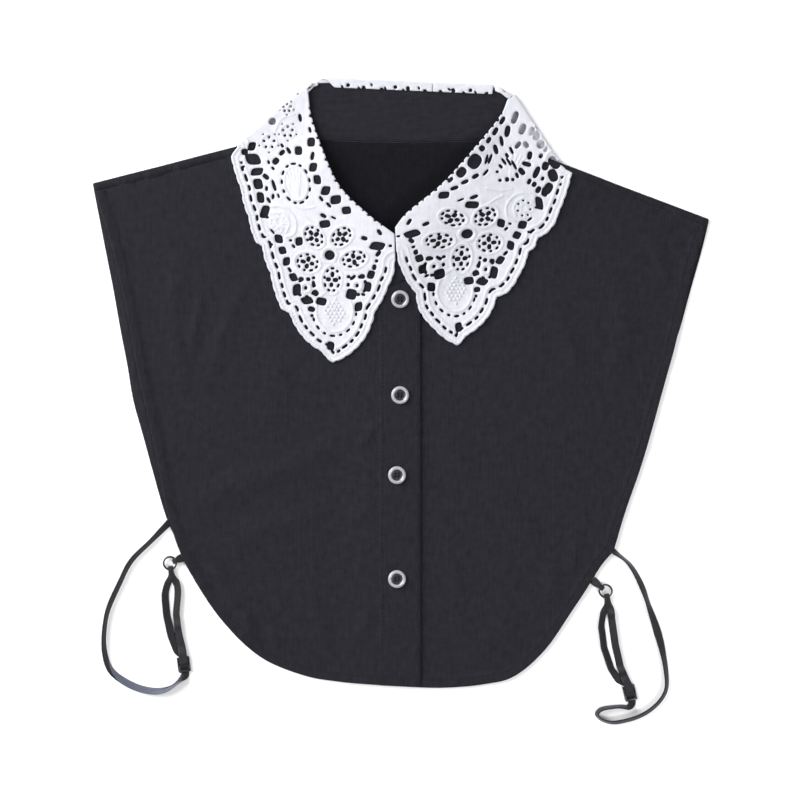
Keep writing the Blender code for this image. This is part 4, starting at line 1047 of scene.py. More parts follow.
def stand_sections():
    """Sections of the band from the neck seam to the roll line, folded flat at the two shoulders."""
    steps = np.linspace(0, 1, 13)[:, None]

    def section(seam, roll, height):
        plan = np.array(seam) * (1 - steps) + np.array(roll) * steps
        return np.c_[plan, height(plan)]

    def side_turn(seam, roll, outward):
        radius = PLY / 2
        out = headed(seam, roll)[1]
        out = out * math.copysign(1, out[0] * outward)
        made = []
        for angle in np.radians(range(15, 180, 15)):
            push = out * radius * math.sin(angle)
            lift = low + radius * (1 + math.cos(angle))
            made.append(section(seam + push, roll + push, lambda plan: np.full(len(plan), lift)))
        return made

    def stretch(seam, roll, height):
        made = []
        for share in np.linspace(0, 1, STAND_SECTIONS):
            ends = [run[round(share * (len(run) - 1))] for run in (seam, roll)]
            made.append(section(*ends, height))
        return made

    def smooth_run(points):
        return curve_through(points, 1.0)

    low = RIDE_LIFT + CLOTH / 2
    return np.array([
        *stretch(smooth_run(FRONT_SEAM_LEFT), smooth_run(FRONT_ROLL_LEFT), stand_middle),
        *side_turn(*STAND_SIDE_LEFT, -1),
        *stretch(smooth_run(BACK_SEAM), smooth_run(BACK_ROLL), lambda plan: np.full(len(plan), low)),
        *side_turn(*STAND_SIDE_RIGHT, 1)[::-1],
        *stretch(smooth_run(FRONT_SEAM_RIGHT), smooth_run(FRONT_ROLL_RIGHT), stand_middle)[::-1],
    ])


class LACECOLLAR_OT_stand(CollarOperator, bpy.types.Operator):
    """Makes the collar stand, a band between the neck seam and the lace"""

    bl_idname = "lace_collar.stand"
    bl_label = "Collar stand"

    def execute(self, context):
        grid = stand_sections()
        rows, columns = grid.shape[:2]
        along = distances_along(grid[:, columns // 2])
        flat = np.stack(np.meshgrid(np.linspace(0, STAND_HEIGHT, columns), along), -1).reshape(-1, 2)
        r, c = np.meshgrid(np.arange(rows - 1), np.arange(columns - 1), indexing="ij")
        first = (r * columns + c).ravel()
        faces = np.stack([first, first + columns, first + columns + 1, first + 1], 1)
        made = wall_piece("stand_cloth", grid.reshape(-1, 3), [faces], STAND_HALF_WALL, STAND_HALF_WALL,
                          poplin(), flat, "collar_stand")
        return {"FINISHED"}


# Motifs of the left lace front. Flower petals: x, y, half length, half width, lean in degrees
PETALS = [
    (-42.8, 63.4, 9.4, 6.4, 84), (-29.2, 75.8, 9.2, 5.8, 12), (-36.8, 89.6, 8.2, 6, 35),
    (-53.9, 89.9, 8.4, 6, 128), (-57.9, 74, 8.4, 6.6, 166),
]
FLOWER_CENTRE = (-44.2, 78.4, 4.6)
# Little flowers of small holes, and rings round one hole: x, y, radius
LITTLE_FLOWERS = [(-70.1, 155.2, 3.0), (-81.7, 148.4, 3.3), (-70.6, 170.0, 2.4)]
RINGS = [(-59.1, 58.4, 3.9), (-27.2, 59.6, 3.9)]
PALE_RING = (-75.4, 99.2, 4.2)
# Fan and paisley, each in a ring of slits: x, y, half width, half height, lean, first, last, slits
FAN = (-64.9, 122.6, 8.6, 12.4, 12, 0, 333, 13)
PAISLEY = (-41.3, 44.2, 13.6, 15.6, 0, 200, 352, 8)
# Slits and small gaps between the motifs: x, y, length, width, lean
LACE_SLITS = [
    (-79.7, 161.5, 3.7, 3.6, 0), (-56.8, 181.8, 2.6, 1.2, 50), (-64.2, 179, 1.5, 1.2, 0),
    (-62.5, 163.7, 4.2, 1.8, 100), (-56.4, 156.1, 3.2, 1.5, 105), (-54.7, 139.6, 4.6, 2, 82),
    (-69.5, 143.3, 4, 1.8, 120), (-73.6, 146.5, 2.4, 1.5, 125), (-73.6, 142, 3.6, 2.4, 45),
    (-77.5, 136.7, 3.9, 3.3, 50), (-81.9, 136.1, 2.2, 1.4, 110), (-79.2, 132.2, 2.1, 1.4, 130),
    (-96.9, 142.6, 3.6, 3.4, 0), (-98, 133.2, 2.4, 1.4, 25), (-83.6, 127, 3.9, 2.4, 140),
    (-78.6, 121.6, 6.2, 1.8, 108), (-83.2, 119.7, 2.6, 1.6, 90), (-79.2, 114.7, 2.8, 1.6, 85),
    (-75.8, 115.1, 2.6, 1.1, 110), (-81.9, 112.5, 3.4, 1.6, 120), (-49.2, 112.9, 3.2, 1.6, 125),
    (-44.5, 109, 3.4, 1.6, 135), (-47.9, 102.5, 3.6, 2, 150), (-41.6, 101.2, 3, 1.2, 155),
    (-68.4, 87.7, 1.7, 1.3, 0), (-66.6, 84.1, 2.4, 1.4, 130), (-79.7, 93.3, 3.4, 1.2, 130),
    (-82.9, 102, 1.8, 1.4, 0), (-80.3, 85.3, 1.6, 1.4, 0), (-69, 69.6, 3, 1.6, 125),
    (-61.9, 63.8, 2.8, 2.3, 0), (-57.6, 63.8, 2.1, 2, 0), (-54.2, 64.6, 1.8, 1.6, 0),
    (-54.3, 60.7, 3.7, 1.7, 90), (-53, 55.2, 3.5, 3, 140), (-55.5, 45.2, 3.9, 2.8, 165),
    (-55.2, 41.2, 1.8, 1.6, 0), (-32.5, 65.1, 1.9, 1.7, 0), (-29.2, 65, 2.4, 1.6, 45),
    (-24, 65.2, 3, 2.5, 0), (-23.4, 54.1, 2.4, 1.5, 160), (-16.5, 70.7, 3, 2.3, 80),
    (-15.1, 74.5, 1.9, 1.7, 0), (-14, 79, 3.6, 2.2, 50), (-22.6, 88.4, 3.4, 2.2, 165),
    (-13.2, 92, 3.6, 2, 125), (-6.5, 83.7, 2, 1.4, 0),
]
# Slits and gaps above this height on the right front, in its own places: x, y, length, width, lean
OPEN_FAN_FROM = 118.0
OPEN_FAN = [
    (72.6, 146.8, 4.4, 2, 50), (77.6, 147, 3.8, 2.2, -50), (79.8, 140.4, 4.6, 2.4, 80),
    (77.9, 135, 5.2, 2.2, -15), (74.8, 130.4, 4.6, 2.6, -50), (71.9, 127.9, 3.2, 1.6, -70),
    (68.5, 143.5, 4.4, 1.4, -65), (65.7, 140.4, 2.8, 1.6, -60), (63.8, 136.5, 4.4, 1.4, -55),
    (61.8, 133.4, 2.8, 1.5, -50), (66.8, 136.4, 5.2, 1.3, -58), (70.1, 134.4, 5.8, 1.4, -62),
    (59.6, 129.9, 1.8, 1.4, 0), (61.3, 124.6, 2, 1.5, 0), (65.7, 125.2, 2.6, 2, 90),
    (69.3, 125.2, 1.9, 1.6, 0), (75.4, 156.7, 6, 3, 70), (81.2, 155.4, 4.6, 2.2, 70),
    (84.5, 158.1, 1.7, 1.5, 0), (84.2, 152.6, 5, 3.2, 75), (86.7, 147.3, 4.6, 3.6, 80),
    (89.8, 144.3, 3.2, 1.6, 65), (86.7, 140.1, 2.8, 1.9, 60), (89.5, 133.8, 4.8, 3.2, 75),
    (84, 129.9, 7, 2.6, 65), (79.5, 124.1, 3.4, 1.9, 65), (82.6, 122.4, 3, 2.2, 60),
    (85.1, 119.1, 4, 2.4, 60), (87.8, 126, 2.4, 1.6, 60), (70.7, 163.9, 7, 2.8, 70),
    (66, 155.4, 6.4, 2.6, 80), (62.4, 149.3, 5.6, 1.8, 100), (58.8, 144, 5.4, 2.2, 105),
    (53, 137.6, 5.6, 1.3, 75), (55.2, 137.9, 6, 1.4, 70), (52.4, 129.3, 4.6, 1.3, 50),
    (62.9, 162, 4.8, 2, 60), (58.5, 155.1, 4.8, 2.2, 60), (54.4, 149.5, 3.9, 2, 58),
    (50.2, 144.3, 3.4, 2.8, 50), (45.5, 136, 8.6, 6, 55), (37.2, 129.1, 6, 4.2, 50),
    (30.5, 124.4, 3.6, 1.8, 45), (46, 126.8, 4.2, 2, 30), (39.4, 123.2, 4.4, 1.8, 25),
    (33, 119.4, 4.6, 1.8, 20), (95, 136, 7.6, 4.6, -50), (94.2, 128, 7, 4.4, -70),
    (91.2, 119.9, 6.6, 4, 60),
]
# Raised veins of the leaf, the fan's spokes and curls in the paisley: radius, height, points
LACE_VEINS = [
    (0.8, 0.45, [(-82, 108), (-76, 109), (-69, 106), (-65, 99), (-66, 92), (-71, 90)]),
    (0.8, 0.40, [(-80, 105), (-72, 104), (-69, 98), (-71, 93)]),
    (0.7, 0.40, [(-62, 104), (-58, 101), (-55, 98)]),
    (0.7, 0.35, [(-66, 109), (-60, 107), (-53, 108)]),
    (0.7, 0.35, [(-66, 166), (-74, 163), (-78, 156)]),
]

# The lace's edge, from the edge inwards: raised cord, stitched band, second cord, row of slits, third cord
EDGE_CORDS = [(1.0, 0.75, 0.55), (3.9, 0.6, 0.35), (7.5, 0.8, 0.4)]
EDGE_STITCH = 2.1
# Raised knots that fill the paisley: middle, half width, half height, rows, knots in a row
KNOTS = (-41.3, 43.6, 5.8, 7.6, 8, 5)
SLIT_ROW = 5.5
SLIT_PITCH = 6.4
SLIT_LONG = 4.3
SLIT_WIDE = 1.8
EDGE_NOTCH = 0.5
EDGE_CALM = 7
BARE_REACH = 9.0
ROLL_NOTCH = 4.9
FAN_GROWTH = 1.15, 1.35
LIP_NOTCH = 4.6
SLIT_GROWTH = 1.2
GAP_GROWTH = 0.5
LACE_GRIP = 0.55
LACE_BULGE = 0.15

# Lace that covers the stand's ends beside the back fold
CORNER_FROM = 54.0
CORNER_STRIP_LEFT = [
    (-51.6, 186.6), (-55, 185), (-58.2, 182.2), (-58.8, 179.8), (-57, 180.2), (-54, 183.2),
    (-51.6, 184),
]
CORNER_STRIP_RIGHT = [
    (58.4, 183.4), (62.6, 182), (66.6, 179.2), (68.4, 176.8), (66.2, 175.8), (62, 178.8),
    (58.4, 180.4),
]


def cord_profile(distance, radius, high):
    return high * np.sqrt(np.maximum(0, 1 - (distance / radius) ** 2))


def ground_height(thread):
    """The ground's share of its full height, rounded off towards the edge of the thread."""
    return 0.3 + 0.7 * np.sqrt(1 - (1 - np.clip(thread / LACE_GRIP, 0, 1)) ** 2)


# The four corners of every square of a grid at once, going round
SQUARE = [np.s_[:-1, :-1], np.s_[:-1, 1:], np.s_[1:, 1:], np.s_[1:, :-1]]


class LaceField:
    """The lace on a square grid over its flat piece: where thread is, and how high it stands."""

    def __init__(self, outline, edge, part, spacing):
        low, high = part.min(0) - 1, part.max(0) + 1
        self.low, self.spacing = low, spacing
        xs, ys = (np.arange(low[i], high[i], spacing) for i in (0, 1))
        self.places = np.stack(np.meshgrid(xs, ys), -1)
        self.shape = self.places.shape[:2]
        flat = self.places.reshape(-1, 2)
        distance = nearest(flat, np.vstack([outline, outline[:1]]))[0]
        self.thread = np.where(inside(flat, outline), distance, -distance).reshape(self.shape)
        self.from_edge = nearest(flat, edge)[0].reshape(self.shape)
        ends = np.pad(edge, ((EDGE_CALM, EDGE_CALM), (0, 0)), "edge")
        share = np.ones(2 * EDGE_CALM + 1) / (2 * EDGE_CALM + 1)
        calm = np.stack([np.convolve(ends[:, i], share, "valid") for i in (0, 1)], 1)
        self.along = nearest(flat, calm)[2].reshape(self.shape)
        self.relief = np.zeros(self.shape)

    def window(self, points, reach):
        points = np.atleast_2d(points)
        low = np.maximum(((points.min(0) - reach - self.low) / self.spacing).astype(int), 0)
        high = ((points.max(0) + reach - self.low) / self.spacing).astype(int) + 2
        return slice(low[1], high[1]), slice(low[0], high[0])

    def hole(self, centre, reach, tall, power=2.5):
        """A rounded hole with these half axes, each a direction and a length in one."""
        centre, reach, tall = (np.array(v, float) for v in (centre, reach, tall))
        part = self.window(centre, max(norm(reach), norm(tall)) + 1)
        places = self.places[part] - centre
        if 0 in places.shape:
            return
        local = places @ np.linalg.inv(np.array([reach, tall]))
        size = (np.abs(local) ** power).sum(-1) ** (1 / power) - 1
        small = min(norm(reach), norm(tall))
        self.thread[part] = np.minimum(self.thread[part], size * small)

    def cord(self, run, radius, high):
        """A raised cord along a run."""
        part = self.window(run, radius + 1)
        places = self.places[part]
        if 0 in places.shape:
            return
        distance = nearest(places.reshape(-1, 2), run)[0].reshape(places.shape[:2])
        self.relief[part] = np.maximum(self.relief[part], cord_profile(distance, radius, high))

    def border(self, bare):
        """The cords and the slits that follow the outer edge, with none around the bare place."""
        index = np.floor(self.along / SLIT_PITCH)
        across = self.from_edge - SLIT_ROW - 0.25 * np.sin(index * 2.3)
        long = SLIT_LONG * (1 + 0.16 * np.sin(index * 3.7)) / 2
        run = self.along - (index + 0.5) * SLIT_PITCH
        size = ((np.abs(run) / long) ** 3 + (np.abs(across) / (SLIT_WIDE / 2)) ** 3) ** (1 / 3) - 1
        size = np.where(norm(self.places - bare, axis=2) < BARE_REACH, 9.0, size)
        self.thread = np.minimum(self.thread, size * SLIT_WIDE / 2)
        notch = (1 - np.abs(np.sin(math.pi * self.along / SLIT_PITCH))) ** 1.5
        self.thread -= EDGE_NOTCH * notch * (1 - smooth((self.from_edge - 0.6) / 1.2))
        for depth, wide, high in EDGE_CORDS:
            self.relief = np.maximum(self.relief, cord_profile(self.from_edge - depth, wide, high))
        stitched = (self.from_edge > 1.4) & (self.from_edge < 3.5)
        ridges = 0.12 + 0.12 * np.sin(2 * math.pi * self.along / EDGE_STITCH)
        self.relief = np.where(stitched, np.maximum(self.relief, ridges), self.relief)

    def mesh(self, keep):
        """Faces over the thread, cut along its outline, with the height of each point."""
        thread = np.minimum(self.thread, keep)
        rows, columns = self.shape
        corner = np.arange(rows * columns).reshape(rows, columns)
        across = rows * columns + np.arange(rows * (columns - 1)).reshape(rows, columns - 1)
        upright = across.max() + 1 + np.arange((rows - 1) * columns).reshape(rows - 1, columns)

        def between(a, b):
            return np.clip(a / np.where(a == b, 1, a - b), 0.1, 0.9)[..., None]

        flat = self.places
        t = between(thread[:, :-1], thread[:, 1:])
        on_across = flat[:, :-1] * (1 - t) + flat[:, 1:] * t
        t = between(thread[:-1], thread[1:])
        on_upright = flat[:-1] * (1 - t) + flat[1:] * t
        points = np.vstack([flat.reshape(-1, 2), on_across.reshape(-1, 2), on_upright.reshape(-1, 2)])
        corners = [corner[square] for square in SQUARE]
        sides = [across[:-1], upright[:, 1:], across[1:], upright[:, :-1]]
        code = sum((thread[square] > 0).astype(int) << i for i, square in enumerate(SQUARE))
        faces = []
        for case in range(1, 16):
            here = code == case
            if not here.any():
                continue
            loop = []
            for i in range(4):
                now, then = case >> i & 1, case >> (i + 1) % 4 & 1
                if now:
                    loop.append(corners[i][here])
                if now != then:
                    loop.append(sides[i][here])
            faces.append(np.stack(loop, 1))
        values = [self.thread.ravel(), np.zeros(on_across.size // 2), np.zeros(on_upright.size // 2)]
        thread_at = np.maximum(np.concatenate(values), 0)
        relief = self.relief
        relief_at = np.concatenate([
            relief.ravel(), ((relief[:, :-1] + relief[:, 1:]) / 2).ravel(),
            ((relief[:-1] + relief[1:]) / 2).ravel(),
        ])
        used = np.unique(np.concatenate([face.ravel() for face in faces]))
        order = np.zeros(len(points), int)
        order[used] = np.arange(len(used))
        return points[used], [order[face] for face in faces], thread_at[used], relief_at[used]


def around(x, y, radius, degrees, squash=1.0):
    angle = math.radians(degrees)
    return x + radius * math.cos(angle), y + squash * radius * math.sin(angle)


def turned_axes(length, width, lean):
    angle = math.radians(lean)
    along = np.array([math.cos(angle), math.sin(angle)])
    return along * length / 2, np.array([-along[1], along[0]]) * width / 2


class LaceChart:
    """Draws motifs, given in the left front's places, on either half of the lace."""

    def __init__(self, field, take):
        self.field = field
        self.take = take

    def hole(self, x, y, length, width, lean, skew=0.0, power=2.5):
        centre = np.array([x, y])
        reach, tall = turned_axes(length, width, lean)
        places = self.take(np.array([centre, centre + reach, centre + tall + skew * reach]))
        self.field.hole(places[0], places[1] - places[0], places[2] - places[0], power)

    def cord(self, points, radius, high):
        self.field.cord(self.take(np.array(points)), radius, high)

    def oval(self, x, y, half_long, half_wide, lean, share=1.0, steps=33):
        along, across = turned_axes(2 * half_long * share, 2 * half_wide * share, lean)
        turn = np.linspace(0, 2 * math.pi, steps)[:, None]
        return np.array([x, y]) + along * np.cos(turn) + across * np.sin(turn)

    def petal(self, x, y, half_long, half_wide, lean):
        """Four or five holes in a net, ringed by small ones, in a corded outline."""
        self.cord(self.oval(x, y, half_long, half_wide, lean), 0.8, 0.42)
        inner = self.oval(x, y, half_long, half_wide, lean, 0.34, 5)[:-1]
        for i, (px, py) in enumerate(inner):
            self.hole(px, py, 3.5 - 0.3 * (i % 3), 2.4 + 0.3 * (i % 2), lean + 90 * (i % 2))
        outer = self.oval(x, y, half_long, half_wide, lean + 3, 0.74, 10)[:-1]
        for i, (px, py) in enumerate(outer):
            tangent = math.degrees(math.atan2(*(outer[(i + 1) % 9] - outer[i - 1])[::-1]))
            self.hole(px, py, 2.7 - 0.4 * (i % 3), 1.6, tangent)

    def little_flower(self, x, y, radius):
        for i in range(5):
            self.hole(*around(x, y, radius, 72 * i + 18), 1.8, 1.5, 72 * i + 18)
            self.hole(*around(x, y, 1.9 * radius, 72 * i + 54), 1.1, 1.0, 0)
        self.cord(self.oval(x, y, radius * 1.5, radius * 1.5, 0), 0.6, 0.25)

    def ring(self, x, y, radius):
        self.hole(x, y, 2.4, 2.1, 90)
        self.cord(self.oval(x, y, radius * 0.7, radius * 0.7, 0), 0.9, 0.5)
        for i in range(7):
            place = around(x, y, 1.42 * radius, 360 / 7 * i + 20)
            self.hole(*place, 3.2 - 0.7 * (i % 2), 2.1, 360 / 7 * i + 110)

    def slit_ring(self, x, y, half_wide, half_high, lean, first, last, count):
        """Slits that follow an oval, and the oval's cord inside them."""
        along, across = turned_axes(2 * half_wide, 2 * half_high, lean)
        for i, angle in enumerate(np.radians(np.linspace(first, last, count))):
            place = np.array([x, y]) + along * math.cos(angle) + across * math.sin(angle)
            tangent = across * math.cos(angle) - along * math.sin(angle)
            size = 2.9 + 0.7 * math.sin(2.6 * i)
            self.hole(*place, size, 1.55, math.degrees(math.atan2(tangent[1], tangent[0])))
        self.cord(self.oval(x, y, half_wide, half_high, lean, 0.84), 0.8, 0.45)

    def front(self, right):
        """All the motifs of a front. The right one shows its fan open, with long slits."""
        for row in PETALS:
            self.petal(*row)
        x, y, radius = FLOWER_CENTRE
        self.cord(self.oval(x, y, radius, radius, 0), 1.0, 0.5)
        for row in RINGS:
            self.ring(*row)
        x, y, radius = PALE_RING
        self.cord(self.oval(x, y, 0.45 * radius, 0.6 * radius, 10), 0.6, 0.35)
        for degrees in np.arange(7) * 360 / 7 + 20:
            place = around(x, y, 0.95 * radius, degrees, 1.15 / 0.95)
            self.cord(self.oval(*place, 1.7, 1.3, degrees), 0.6, 0.35)
            if right:
                self.hole(*place, 1.5, 1.2, 0)
        self.slit_ring(*PAISLEY)
        if right:
            for x, y, length, width, lean in OPEN_FAN:
                self.field.hole((x, y), *turned_axes(length * FAN_GROWTH[0], width * FAN_GROWTH[1], lean))
        else:
            self.slit_ring(*FAN)
            for row in LITTLE_FLOWERS:
                self.little_flower(*row)
        x, y, half_wide, half_high, rows, columns = KNOTS
        for row in range(rows):
            up = 2 * row / (rows - 1) - 1
            for column in range(columns):
                across = (2 * column + row % 2) / (columns - 0.5) - 1
                if up**2 + across**2 < 1.05:
                    place = np.array([x + half_wide * across, y + half_high * up])
                    turn = 1.3 * row * row + 2.1 * column
                    way = np.array([math.cos(turn), math.sin(turn)])
                    self.cord([place - 0.4 * way, place + 0.4 * way], 0.6, 0.7)
        x, y, half_wide, half_high, lean = FAN[:5]
        for share in (-0.6, -0.3, 0, 0.3, 0.6):
            along, across = turned_axes(2 * half_wide, 2 * half_high, lean)
            start = np.array([x, y]) - across * 0.7
            self.cord([start, np.array([x, y]) + across * 0.75 + along * share], 0.6, 0.32)
        for x, y, length, width, lean in LACE_SLITS:
            if not right or self.take((x, y))[0][1] < OPEN_FAN_FROM:
                self.hole(x, y, length * SLIT_GROWTH, width * SLIT_GROWTH, lean)
        for i, (x, y, wide, high) in enumerate(LACE_GAPS):
            if not right or self.take((x, y))[0][1] < OPEN_FAN_FROM:
                central = math.dist((x, y), FLOWER_CENTRE[:2]) < 2
                self.hole(x, y, wide + GAP_GROWTH, high + GAP_GROWTH, 14 * math.sin(3.1 * i),
                          0 if central else 0.27 * math.sin(1.7 * i), 2.0 if central else 3.4)
        for radius, high, points in LACE_VEINS:
            self.cord(curve_through(points, 1.5), radius, high)


class LACECOLLAR_OT_lace(CollarOperator, bpy.types.Operator):
    """Makes the two halves of the lace, each with its front and its folded back"""

    bl_idname = "lace_collar.lace"
    bl_label = "Lace"

    def execute(self, context):
        half = GAP / 2
        self.half("lace_left", -1, SIDE_FOLD_LEFT, LACE_EDGE_LEFT, FRONT_ROLL_LEFT, BACK_EDGE_LEFT,
                  CENTRE_BACK - half, LIP_LEFT, lambda places: np.atleast_2d(places))
        self.half("lace_right", 1, SIDE_FOLD_RIGHT, LACE_EDGE_RIGHT, FRONT_ROLL_RIGHT, BACK_EDGE_RIGHT,
                  CENTRE_BACK + half, LIP_RIGHT, TO_RIGHT)
        self.corner("lace_left", CORNER_STRIP_LEFT, (-56.6, 183.0, 3.0, 1.3, 50))
        self.corner("lace_right", CORNER_STRIP_RIGHT, (64.4, 180.2, 2.2, 0.9, -35))
        return {"FINISHED"}

    def half(self, node, outside, side_line, edge, roll, back_edge, centre_back, lip, take):
        side = Fold(side_line, (0, 60), SIDE_FOLD_RADIUS)
        back = Fold(BACK_FOLD, (0, 60), BACK_FOLD_RADIUS)
        top, bottom = (side.foot(np.array(p)) for p in side_line)
        side_rows = side.rows(bottom, top, 2.0, steps=12)
        (lip_end, slant), back_y = lip, BACK_FOLD[0][1]
        lip_rows = back.rows((centre_back, back_y), (lip_end, back_y), 2.0, slant)
        reach = back.out * LACE_TURN
        lip_edge = [lip_rows[-1][0] + reach, lip_rows[-1][-1] + reach + back.along * slant]
        back_run = scalloped(back_edge, 1.5, outside)
        under = np.vstack([back_run, [row[0] for row in lip_rows], spaced(lip_edge, 2.0),
                           [row[-1] for row in lip_rows[::-1]]])
        front_run = scalloped(edge, 1.2, outside)
        outline = np.vstack([
            [row[-1] for row in side_rows[::-1]],
            curve_through(roll[::-1], 2.0),
            front_run[::-1],
            [row[0] for row in side_rows],
            side.unfold(under),
        ])
        outer = np.vstack([front_run[::-1], [row[0] for row in side_rows], side.unfold(back_run)])
        spacing = settings("lace").grid / MM
        past = side.past(outline)
        front = LaceField(outline, outer, outline[past < side.arc + 2], spacing)
        bare = side_rows[0][0]
        front.border(bare)
        for i, place in enumerate(curve_through(roll, ROLL_NOTCH)[2:-2]):
            front.hole(place, (0.6 + 0.35 * (i % 3), 0), (0, 0.8 + 0.3 * (i % 2)))
        LaceChart(front, take).front(node == "lace_right")
        self.piece(node + "_front", front, side.arc - side.past(front.places), side, back, node)
        rear = LaceField(outline, outer, outline[past > side.arc - 2], spacing * 1.4)
        rear.border(bare)
        for i, place in enumerate(spaced(lip_edge, LIP_NOTCH)[1:-1]):
            inset = 0.4 + 1.4 * (i % 3 == 1) + 0.8 * (i % 5 == 2)
            place = place - back.out * inset + back.along * 1.2 * math.sin(2.3 * i)
            rear.hole(side.unfold(place), (0.8 + 0.35 * (i % 3), 0.3 * (i % 2)), (0, 1.2 - 0.5 * (i % 2)))
        self.back_motifs(rear, side, outside)
        self.piece(node + "_back", rear, side.past(rear.places) - side.arc, side, back, node)

    def corner(self, node, outline, hole):
        """The lace between the back fold's end and the side fold, over the end of the stand."""
        lace = settings("lace")
        outline = curve_through([*outline, outline[0]], 0.8)[:-1]
        field = LaceField(outline, outline, outline, lace.grid / MM)
        field.hole(hole[:2], *turned_axes(*hole[2:]))
        flat, faces, thread, relief = field.mesh(np.inf)
        near = smooth((np.abs(flat[:, 0]) - CORNER_FROM) / 9.0)
        lift = LACE_LOW + 2 * BACK_FOLD_RADIUS
        high = lift + (lace_middle(flat) - lift) * near
        over = ground_height(thread) * lace.ground / MM - 0.4
        wall_piece(node + "_corner", np.c_[flat, high], faces, over, 0.5, guipure(), flat, node,
                   LACE_BULGE)

    def back_motifs(self, field, side, outside):
        chart = LaceChart(field, lambda places: side.unfold(np.atleast_2d(places)))
        for row, y in enumerate((128.0, 143.0, 158.0, 173.0)):
            for column in range(9):
                x = CENTRE_BACK + outside * (9.0 + 15.0 * column + 7.5 * (row % 2))
                if abs(x) < 78 - 0.6 * abs(y - 140):
                    chart.little_flower(x, y, 2.9)
                    chart.hole(x + 7.5, y, 2.4, 3.6, 0)

    def piece(self, name, field, keep, side, back, node):
        lace = settings("lace")
        flat, faces, thread, relief = field.mesh(keep)
        plan, turned = side.lay(flat)
        under = turned >= 1
        feet = np.where((turned > 0)[:, None], side.foot(flat), plan)
        high = lace_middle(feet) - 2 * side.radius * turned
        back_plan, over = back.lay(plan)
        high = np.where(under, LACE_LOW + 2 * back.radius * over, high)
        plan = np.where(under[:, None], back_plan, plan)
        cords = relief * lace.cord / MM / 0.6
        over = ground_height(thread) * (lace.ground / MM + cords) - LACE / 2
        made = wall_piece(name, np.c_[plan, high], faces, over, LACE / 2, guipure(), flat, node,
                          LACE_BULGE)


def guipure():
    # Embroidered polyester thread with its backing washed away: soft sheen, thread grain along the cords.
    # Threads of 0.2 mm are drawn 0.7 mm apart to show
    return woven("white polyester guipure", tuple(settings("lace").colour), 0.7,
                 {"Roughness": 0.6, "Sheen Weight": 0.15, "Sheen Roughness": 0.4}, relief=0.6, patch=0.07)


class LACECOLLAR_OT_buttons(CollarOperator, bpy.types.Operator):
    """Makes the shirt buttons with their dished centres, four holes and sewing thread"""

    bl_idname = "lace_collar.buttons"
    bl_label = "Buttons"

    def execute(self, context):
        button = settings("button")
        radius = button.across / MM / 2
        # Rows are the distance from the middle and the height: under side, rim, slope and dish
        profile = [
            (0.0, 0.0), (radius - 1.2, 0.0), (radius - 0.5, 0.25), (radius, 0.9), (radius - 0.12, 1.45),
            (radius - 0.5, 2.0), (radius - 1.1, 2.28), (radius - 1.6, 2.2), (radius - 2.1, 1.75),
            (radius - 2.5, 1.35), (radius - DISH_INSET, DISH_FLOOR),
        ]
        for number, centre in enumerate(BUTTON_PLACES, 1):
            node = f"button_{number}"
            x, y = centre
            near = np.array([[x - 1, y], [x + 1, y], [x, y - 1], [x, y + 1], [x, y]])
            west, east, south, north, middle = placket_middle(near)
            normal = Vector(((west - east) / 2, (south - north) / 2, 1)).normalized()
            seat = Vector((x, y, middle)) + normal * (CLOTH / 2 + GAP)
            spin = np.array(normal.to_track_quat("Z", "Y").to_matrix())
            points, faces = self.turned(profile, radius - DISH_INSET)
            made = new_piece(f"{node}_shell", points @ spin.T + np.array(seat), faces, pearl(),
                             points[:, :2], [node])
            # The rim keeps the lighter pearl finish as a painted highlight; the dish takes the button's
            # smoke grey
            made.data.materials.append(smoke())
            middles = np.array([points[face].mean(0) for face in faces])
            dark = (np.hypot(middles[:, 0], middles[:, 1]) < radius - HIGHLIGHT_RIM_WIDE) & (middles[:, 2] > 0.1)
            made.data.polygons.foreach_set("material_index", dark.astype(np.int32))
            points, faces = self.thread(number)
            new_piece(f"{node}_thread", points @ spin.T + np.array(seat), faces, thread(), points[:, :2])
        return {"FINISHED"}

    def turned(self, profile, dish):
        """The button: the turned profile outside, then the dish with its four holes as a fine disc."""
        sides = 72
        rings = [*profile[1:], *[(dish * share, DISH_FLOOR) for share in np.linspace(0.95, 0.05, 14)]]
        angles = np.arange(sides) * 2 * math.pi / sides
        points = [np.array([[0.0, 0.0, 0.0]])]
        for radius, height in rings:
            ring = np.c_[radius * np.cos(angles), radius * np.sin(angles), np.full(sides, height)]
            if radius < dish:
                for hole in HOLE_PLACES:
                    away = norm(ring[:, :2] - hole, axis=1)
                    ring[:, 2] -= 0.95 * (1 - smooth((away - 0.5) / 0.3))
            points.append(ring)
        points.append(np.array([[0.0, 0.0, DISH_FLOOR]]))
        points = np.vstack(points)
        faces = [[0, 1 + (k + 1) % sides, 1 + k] for k in range(sides)]
        faces += (ring_faces(len(rings), sides)[:, [0, 3, 2, 1]] + 1).tolist()
        last, tip = 1 + (len(rings) - 1) * sides, len(points) - 1
        faces += [[last + k, last + (k + 1) % sides, tip] for k in range(sides)]
        return points, faces

    def thread(self, number):
        """Two parallel bundles of thread from hole to hole, which stand a little out of the dish."""
        ys = np.linspace(-1.25, 1.25, 9)
        points, faces = joined(
            tube([[side + strand, y, 1.05 + 0.62 * math.cos(y * 1.1)] for y in ys], THREAD_RADIUS, 6)
            for side in (-1.0, 1.0) for strand in (-0.28, 0.0, 0.28)
        )
        turn = math.radians(7 * number - 12)
        spin = np.array([[math.cos(turn), -math.sin(turn)], [math.sin(turn), math.cos(turn)]])
        points[:, :2] = points[:, :2] @ spin.T
        return points, faces


